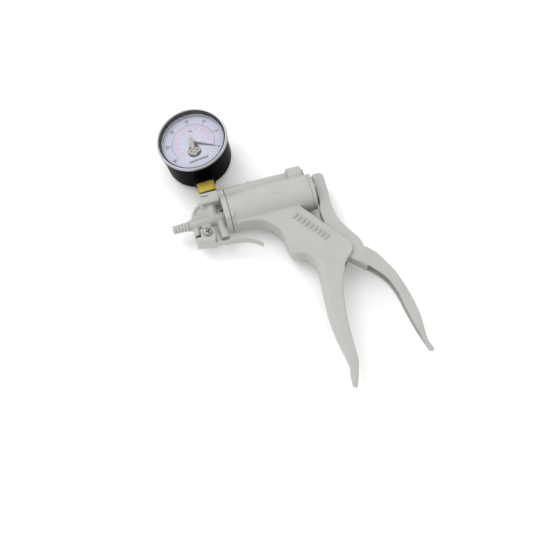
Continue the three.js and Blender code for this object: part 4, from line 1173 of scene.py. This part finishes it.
bossReach = g["boss"] + 0.5
mouldedPiece("stemBoss", bossShape, (-bossReach, -33, -bossReach), (bossReach, -24, bossReach),
             g["bossCell"], "black", "frame", (), inGauge=True)
bezelBore = g["radius"] + 0.15
bezelSeat = g["ringBack"] + 0.05
gaugeTurned("gaugeBezel", filleted([
    (bezelBore, bezelSeat), (g["bezel"] - 0.3, bezelSeat), (g["bezel"], g["ringBack"] + 0.5),
    (g["bezel"] - 0.1, g["bezelFront"] - 1.3), (g["bezel"] - 0.8, g["bezelFront"]),
    (g["bezel"] - g["lip"], g["bezelFront"] - 0.4), (g["bezel"] - g["lip"] - 0.1, g["bezelFront"] - 1.9),
    (bezelBore, g["bezelFront"] - 1.95)], 0.5, 5, closed=True),
    "bezel", ("gauge_bezel",), 192, closed=True)
# Black lens gasket under the bezel's lip; its black band is partly the gasket and partly painted shade of
# the bezel's inner wall
gaugeTurned("lensGasketAndShade", filleted(lens["seal"], 0.25, 4, closed=True), "rubber", (), 192,
            closed=True)
lensRadius = g["radius"] - 0.2
gaugeTurned("gaugeLens", filleted([
    (0, lens["low"]), (lensRadius, lens["low"]), (lensRadius, lens["high"]), (0, lens["high"])], 0.3, 3),
    "lens", ("gauge_lens",), 128)
ringOuter = canInside - lensRing["gap"]
gaugeTurned("gaugeRing", filleted([
    (lensRing["inner"], lensRing["low"]), (ringOuter, lensRing["low"]), (ringOuter, lensRing["high"]),
    (lensRing["inner"] + lensRing["slope"], lensRing["high"])], 0.3, 4, closed=True),
    "bezel", ("gauge_ring",), 192, closed=True)

# Dial with a drop-shaped window, and the bridge of the movement showing in it
window = {"top": 1.9, "bottomY": -8.2, "bottom": 5.6, "middle": -0.8, "steps": 40, "heart": 5.0}


def dropOutline():  # a drop from a small arc at the centre to a wide one below
    w = window
    upper = arcPoints((0, 0), w["top"], 0, 180, w["steps"] // 2)
    lower = arcPoints((w["middle"], w["bottomY"]), w["bottom"], 165, 375, w["steps"])
    return np.vstack([upper, lower])


def gaugeMoulded(name, shape, low, high, cell, finish, body="frame", replaced=()):
    return mouldedPiece(name, shape, low, high, cell, finish, body, replaced, inGauge=True)


windowOutline = evenly(dropOutline(), 160)
windowTurns = np.unwrap(np.arctan2(windowOutline[:, 1] + window["heart"], windowOutline[:, 0]))
evenTurns = windowTurns[0] + np.linspace(0, 2 * math.pi, len(windowOutline), endpoint=False)
rimTurns = 0.3 * windowTurns + 0.7 * evenTurns  # the rim's points lie near the window's, but more evenly
rimPoints = np.stack([g["dialRadius"] * np.cos(rimTurns), g["dialRadius"] * np.sin(rimTurns)], axis=1)
ringCount = len(windowOutline)
dialBack = g["dialFront"] - g["dialThick"]
dialVertices = [(*p, height) for height in (g["dialFront"], dialBack)
                for line in (windowOutline, rimPoints) for p in line]
dialFaces = []
for i in range(ringCount):
    j = (i + 1) % ringCount
    a, b = 0, ringCount
    c, d = 2 * ringCount, 3 * ringCount
    dialFaces += [(a + i, b + i, b + j, a + j), (c + j, d + j, d + i, c + i),
                  (b + i, d + i, d + j, b + j), (a + j, c + j, c + i, a + i)]
if signedVolume(np.array(dialVertices), dialFaces) < 0:
    dialFaces = [face[::-1] for face in dialFaces]
makePiece("gaugeDial", gaugePlaced(dialVertices), dialFaces, "dial", "frame", ("gauge_dial",),
          30)

# Bridge of the movement, with a tunnel under its arch for the hub and the pointer's tail
bridge = {
    "tip": (-0.9, 3.3), "tipRadius": 1.6, "neck": (-1.2, -2.6), "neckRadius": 1.35,
    "top": 17.5, "arch": 16.85,
    "riseFoot": (-1.3, -5.4), "sweep": 5.2, "plate": 0.9, "cell": 0.2,
    "ears": [(-3.5, -8.0, 2.5), (2.0, -7.5, 2.5), (-1.0, -9.9, 2.3)],
    "hollow": {"at": (-1.0, -10.2), "radius": 1.1, "floor": 0.5},
}
bridgeNeck = np.vstack([
    arcPoints(bridge["neck"], bridge["neckRadius"], 0, 180, 12), [(-4.0, -7.6), (2.6, -7.2)]])
bridgeRise = np.vstack([
    arcPoints(bridge["tip"], bridge["tipRadius"], 0, 180, 20),
    arcPoints(bridge["riseFoot"], bridge["neckRadius"] + 0.3, 180, 360, 12)])


def bridgeShape(place):
    b = bridge
    low, high = g["dialFront"] - 0.2, g["dialFront"] + b["plate"]
    foot = None
    for earX, earY, radius in b["ears"]:
        disc = roundBar(place, "z", low, high, radius, (earX, earY), 0.3)
        foot = disc if foot is None else joined(foot, disc, 1.2)
    neck = plate(place, bridgeNeck, (high - low) / 2, 0.3, (high + low) / 2)
    rise = plate(place, bridgeRise, (b["top"] - low) / 2, 0.35, (b["top"] + low) / 2)
    tunnel = roundBar(place, "z", g["dialFront"] - 1, b["arch"], b["sweep"], (0, 0), 0.2)
    whole = without(joined(joined(foot, neck, 1.0), rise, 0.5), tunnel, 0.2)
    hollow = b["hollow"]
    dent = roundBar(place, "z", g["dialFront"] + hollow["floor"], g["dialFront"] + 2, hollow["radius"],
                    hollow["at"], 0.2)
    return without(whole, dent, 0.3)


gaugeMoulded("movementBridge", bridgeShape, (-6.6, -13.2, g["dialFront"] - 0.4), (5.2, 5.2, bridge["top"]),
             bridge["cell"], "bridge", "frame", ("gauge_movement",))
bridgeHead = {"radius": 1.3, "height": 0.7, "length": 1.2, "shank": 0.6, "slot": (1.5, 0.4, 0.4)}
bridgeHeadHeight = g["dialFront"] + bridge["plate"] + 0.3
bridgeSpots = [(*earAt, bridgeHeadHeight) for earAt in ((-3.1, -8.0), (1.9, -7.5))]
bridgeMesh = screws.grow("movementScrews", bridgeSpots, "darkSteelAndShade", **screwSizes(bridgeHead, 0.04))
keepMesh("movementScrews", bridgeMesh, gaugeMatrix, "frame",
         ("movement_screw_1", "movement_screw_2"))

# Print on the dial: an outer scale in black and an inner one in red
printHeight = 0.05  # thickness of the ink
printTop = g["dialFront"] + printHeight / 2
scales = [
    {"finish": "inkBlack", "name": "outerScale", "radius": 17.6, "way": 1, "small": 30,
     "values": ["0", "5", "10", "15", "20", "25", "30"], "textRadius": 21.6, "textSize": 3.5, "line": 0.28,
     "units": "inHg", "unitsAt": (0, 11.6), "unitsSize": 1.9},
    {"finish": "inkRed", "name": "innerScale", "radius": 15.6, "way": -1, "small": 50,
     "values": ["0", "10", "20", "30", "40", "50", "60", "70", "80", "90", "100"], "textRadius": 12.4,
     "textSize": 2.3, "line": 0.22, "units": "kPa", "unitsAt": (0, 7.6), "unitsSize": 1.7},
]
ticks = tickGrowth()


def meshArrays(mesh):
    return [tuple(v.co * 1000) for v in mesh.vertices], [tuple(p.vertices) for p in mesh.polygons]


strokeGrowth = 0.035  # makes the figures bold, as a share of their size


def letters(text, size, x, y, turn):  # flat text, centred on a place of the dial
    curve = bpy.data.curves.new("letters", "FONT")
    curve.body, curve.size, curve.extrude = text, size / 1000, printHeight / 2000
    curve.align_x, curve.align_y = "CENTER", "CENTER"
    curve.resolution_u = 3
    curve.offset = size * strokeGrowth / 1000
    holder = bpy.data.objects.new("letters", curve)
    bpy.context.scene.collection.objects.link(holder)
    graph = bpy.context.evaluated_depsgraph_get()
    mesh = bpy.data.meshes.new_from_object(holder.evaluated_get(graph), depsgraph=graph)
    mesh.transform(Matrix.Translation(Vector((x, y, printTop)) / 1000) @ Matrix.Rotation(turn, 4, "Z"))
    bpy.data.objects.remove(holder)
    bpy.data.curves.remove(curve)
    return mesh


def arcLine(radius, wide, start, sweep, steps=160):
    inner = arcPoints((0, 0), radius - wide / 2, math.degrees(start), math.degrees(start + sweep), steps)
    outer = arcPoints((0, 0), radius + wide / 2, math.degrees(start), math.degrees(start + sweep), steps)
    low, high = printTop - printHeight / 2, printTop + printHeight / 2
    count = steps + 1
    vertices = [(*p, z) for z in (low, high) for line in (inner, outer) for p in line]
    faces = []
    for i in range(steps):
        a, b, c, d = i, count + i, 2 * count + i, 3 * count + i
        faces += [(a, a + 1, b + 1, b), (c, d, d + 1, c + 1), (a, c, c + 1, a + 1), (b, b + 1, d + 1, d)]
    for i in (0, steps):
        end = (i, count + i, 3 * count + i, 2 * count + i)
        faces.append(end if i == 0 else end[::-1])
    if sweep < 0:
        faces = [face[::-1] for face in faces]
    return vertices, faces


def flatBar(x, y, wide, tall):  # a small printed bar
    low, high = printTop - printHeight / 2, printTop + printHeight / 2
    corners = [(x - wide / 2, y - tall / 2), (x + wide / 2, y - tall / 2), (x + wide / 2, y + tall / 2),
               (x - wide / 2, y + tall / 2)]
    vertices = [(*p, z) for z in (low, high) for p in corners]
    sides = [(i, (i + 1) % 4, (i + 1) % 4 + 4, i + 4) for i in range(4)]
    return vertices, [(3, 2, 1, 0), (4, 5, 6, 7)] + sides


plainRow = {"count": 9, "from": (-6.6, -17.3), "step": (1.85, 0.12), "wide": 1.5, "tall": 2.1}
zero = math.radians(g["needleAngle"])
sweep = math.radians(g["scaleSweep"])
smallTick = {"long": 1.2, "wide": 0.8}  # width as a share of the scale's line
bigTick = {"long": 2.3, "wide": 1.8}
for scale in scales:
    arrays = []
    for count, tick in ((scale["small"] + 1, smallTick), (len(scale["values"]), bigTick)):
        radius = scale["radius"] + scale["way"] * tick["long"] / 2
        made = ticks.grow("ticks", [], scale["finish"], Count=count, FirstAngle=zero,
                          StepAngle=sweep / (count - 1), Radius=radius / 1000, Long=tick["long"] / 1000,
                          Wide=scale["line"] * tick["wide"] / 1000, Thick=printHeight / 1000)
        points, faces = meshArrays(made)
        arrays.append(([(x, y, z + printTop) for x, y, z in points], faces))
        bpy.data.meshes.remove(made)
    arrays.append(arcLine(scale["radius"], scale["line"], zero, sweep))
    marks = [(value, scale["textSize"], scale["textRadius"], zero + sweep * i / (len(scale["values"]) - 1))
             for i, value in enumerate(scale["values"])]
    meshes = [letters(value, size, radius * math.cos(a), radius * math.sin(a), a - math.pi / 2)
              for value, size, radius, a in marks]
    meshes.append(letters(scale["units"], scale["unitsSize"], *scale["unitsAt"], 0))
    for mesh in meshes:
        arrays.append(meshArrays(mesh))
        bpy.data.meshes.remove(mesh)
    if scale["way"] > 0:  # a plain row of bars low on the dial, in place of lettering
        for i in range(plainRow["count"]):
            arrays.append(flatBar(plainRow["from"][0] + i * plainRow["step"][0],
                                  plainRow["from"][1] + i * plainRow["step"][1],
                                  plainRow["wide"] * (0.7 + 0.3 * (i % 2)), plainRow["tall"]))
    vertices, faces = [], []
    for points, polygons in arrays:
        faces += [tuple(i + len(vertices) for i in face) for face in polygons]
        vertices += points
    makePiece(scale["name"], gaugePlaced(vertices), faces, scale["finish"], "frame", (),
              30)
print("dial made")

# Pointer, with its hub and staff
needle = {"long": 19.0, "tail": 1.8, "low": 15.9, "thick": 0.45, "hub": 1.4, "staff": 0.8, "staffLow": 2.8,
          "cell": 0.16}
n = needle
needleTurn = np.array([[math.cos(zero), -math.sin(zero)], [math.sin(zero), math.cos(zero)]])
needleSide = np.array([(n["long"], 0.2), (13, 0.5), (4, 0.95), (0, 1.1), (-n["tail"], 0.9)])
needleOutline = np.vstack([needleSide, needleSide[::-1] * (1, -1)]) @ needleTurn.T


def needleShape(place):
    blade = plate(place, needleOutline, n["thick"] / 2, 0.1, n["low"] + n["thick"] / 2)
    hub = roundBar(place, "z", n["low"] - 0.2, n["low"] + 0.7, n["hub"], (0, 0), 0.2)
    staff = roundBar(place, "z", n["staffLow"], n["low"] + 0.2, n["staff"], (0, 0), 0.1)
    return np.minimum(joined(blade, hub, 0.2), staff)


gaugeMoulded("gaugePointer", needleShape, (-6, -9.5, n["low"] - 1.3), (17.5, 4, n["low"] + 1.1), n["cell"],
             "pointer", "pointer", ("gauge_pointer",))
relief = {"above": 12.0, "radius": 4.0, "hole": 2.5, "out": 1.4, "deep": 1.5}
gaugeTurned("reliefPlug", filleted([
    (0, g["back"] - relief["out"]), (relief["radius"] - 0.7, g["back"] - relief["out"]),
    (relief["radius"], g["back"] - 0.9), (relief["radius"], g["back"] - 0.1),
    (relief["hole"], g["back"] + 0.1), (relief["hole"], g["back"] + relief["deep"]),
    (0, g["back"] + relief["deep"])], 0.4, 3), "rubber",
    ("gauge_relief_plug",), 64, centre=(0, relief["above"], 0))

# Brass stem and its seal
stemLow = stem["bottom"] - gaugeCentre[1]


def stemShape(place):
    s = stem
    half = s["flats"] / 2
    flatsTop = stemLow + s["flatsHigh"]
    flats = block(place, (-half, stemLow, -half), (half, flatsTop, half), 0.45)
    cropped = roundBar(place, "y", stemLow - 0.5, flatsTop + 0.5, half * s["crop"], (0, 0), 2.0)
    flats = both(flats, cropped, 0.3)
    neck = roundBar(place, "y", flatsTop - 1, flatsTop + 8, s["neck"], (0, 0), 0.3)
    thread = roundBar(place, "y", stemLow - s["threadLong"], stemLow + 1, s["thread"], (0, 0), 0.4)
    return joined(joined(flats, neck, 0.5), thread, 0.2)


stemHalf = stem["flats"] / 2
gaugeMoulded("gaugeStem", stemShape, (-stemHalf, stemLow - stem["threadLong"], -stemHalf),
             (stemHalf, stemLow + stem["flatsHigh"] + 8, stemHalf), stem["cell"], "brass", "frame",
             ("gauge_stem",))
sealLow, sealHigh = boxOf("stem_seal")
seal = {"inner": 5.2, "outer": 7.2}
turnedPiece("stemSeal", filleted([
    (seal["inner"], sealLow[1]), (seal["outer"], sealLow[1]), (seal["outer"], sealHigh[1]),
    (seal["inner"], sealHigh[1])], 0.3, 3, closed=True), "y",
    (0, 0, 0), "rubber", "frame", ("stem_seal",), 64, closed=True)
print("gauge made")

# Hidden pieces keep the frame's own shapes and get finishes
for node, finish in {
    "piston": "piston", "piston_seal": "rubber", "inlet_valve_disc": "rubber",
    "outlet_valve_disc": "rubber",
    # the sector is near black as painted shade in the dial's window round the bridge
    "gauge_sector": "darkSteelAndShade", "bourdon_tube": "brass",
}.items():
    kept = frame["nodes"][node]
    kept.data.materials.clear()
    kept.data.materials.append(finishes[finish])

# Stage, lights and camera
studio = {
    "floor": (0.97, 0.97, 0.97), "floorHalf": 4.0, "world": 1.0, "key": 6.5, "fill": 1.5, "rim": 1.0,
    "lens": 51.96, "sensor": 36,
    "camera": (-15.12, -292.5, 548.77), "aim": (28.8, -53.9, 0.0), "roll": -5.06,
}
floorBook = NodeBook("floorPaint")
floorCloud = floorBook.noise(3.0, 2.0)
floorShade = tuple(c * 0.99 for c in studio["floor"])
floorFinish = floorBook.finish(
    Base_Color=floorBook.ramp(floorCloud, (0.3, floorShade), (0.8, studio["floor"])), Roughness=0.9)
floorMesh = bpy.data.meshes.new("floor")
floorHalf = studio["floorHalf"]
floorMesh.from_pydata([(-floorHalf, -floorHalf, 0), (floorHalf, -floorHalf, 0), (floorHalf, floorHalf, 0),
                       (-floorHalf, floorHalf, 0)], [], [(0, 1, 2, 3)])
floorMesh.materials.append(floorFinish)
floor = bpy.data.objects.new("floor", floorMesh)
bpy.context.scene.collection.objects.link(floor)

world = bpy.data.worlds.new("studioAir")
world.use_nodes = True
background = world.node_tree.nodes["Background"]
background.inputs["Color"].default_value = (1, 1, 1, 1)
background.inputs["Strength"].default_value = studio["world"]
bpy.context.scene.world = world


def softLight(name, place, size, power, aim=(0, 0, 0.02)):
    data = bpy.data.lights.new(name, "AREA")
    data.shape = "RECTANGLE"
    data.size, data.size_y, data.energy = size, size, power
    lamp = bpy.data.objects.new(name, data)
    facing = (Vector(aim) - Vector(place)).to_track_quat("-Z", "Y")
    lamp.matrix_world = Matrix.Translation(place) @ facing.to_matrix().to_4x4()
    bpy.context.scene.collection.objects.link(lamp)


softLight("keyLight", (-0.5, 0.6, 1.1), 0.9, studio["key"])
softLight("fillLight", (0.9, -0.3, 0.8), 0.8, studio["fill"])
softLight("rimLight", (-0.9, -0.7, 0.5), 0.7, studio["rim"])

cameraData = bpy.data.cameras.new("camera")
cameraData.lens = studio["lens"]
cameraData.sensor_width = studio["sensor"]
cameraData.clip_start = 0.01
camera = bpy.data.objects.new("camera", cameraData)
eye = (Vector(studio["camera"]) + Vector(drawingOrigin)) / 1000
back = (Vector(studio["camera"]) - Vector(studio["aim"])).normalized()
level = Vector((0, 0, 1)).cross(back).normalized()
roll = math.radians(studio["roll"])
rise = back.cross(level)
right = level * math.cos(roll) + rise * math.sin(roll)
up = back.cross(right)
camera.matrix_world = Matrix.Translation(eye) @ Matrix((right, up, back)).transposed().to_4x4()
bpy.context.scene.collection.objects.link(camera)
bpy.context.scene.camera = camera

bpy.context.scene.view_settings.view_transform = "Standard"

bpy.context.view_layer.update()
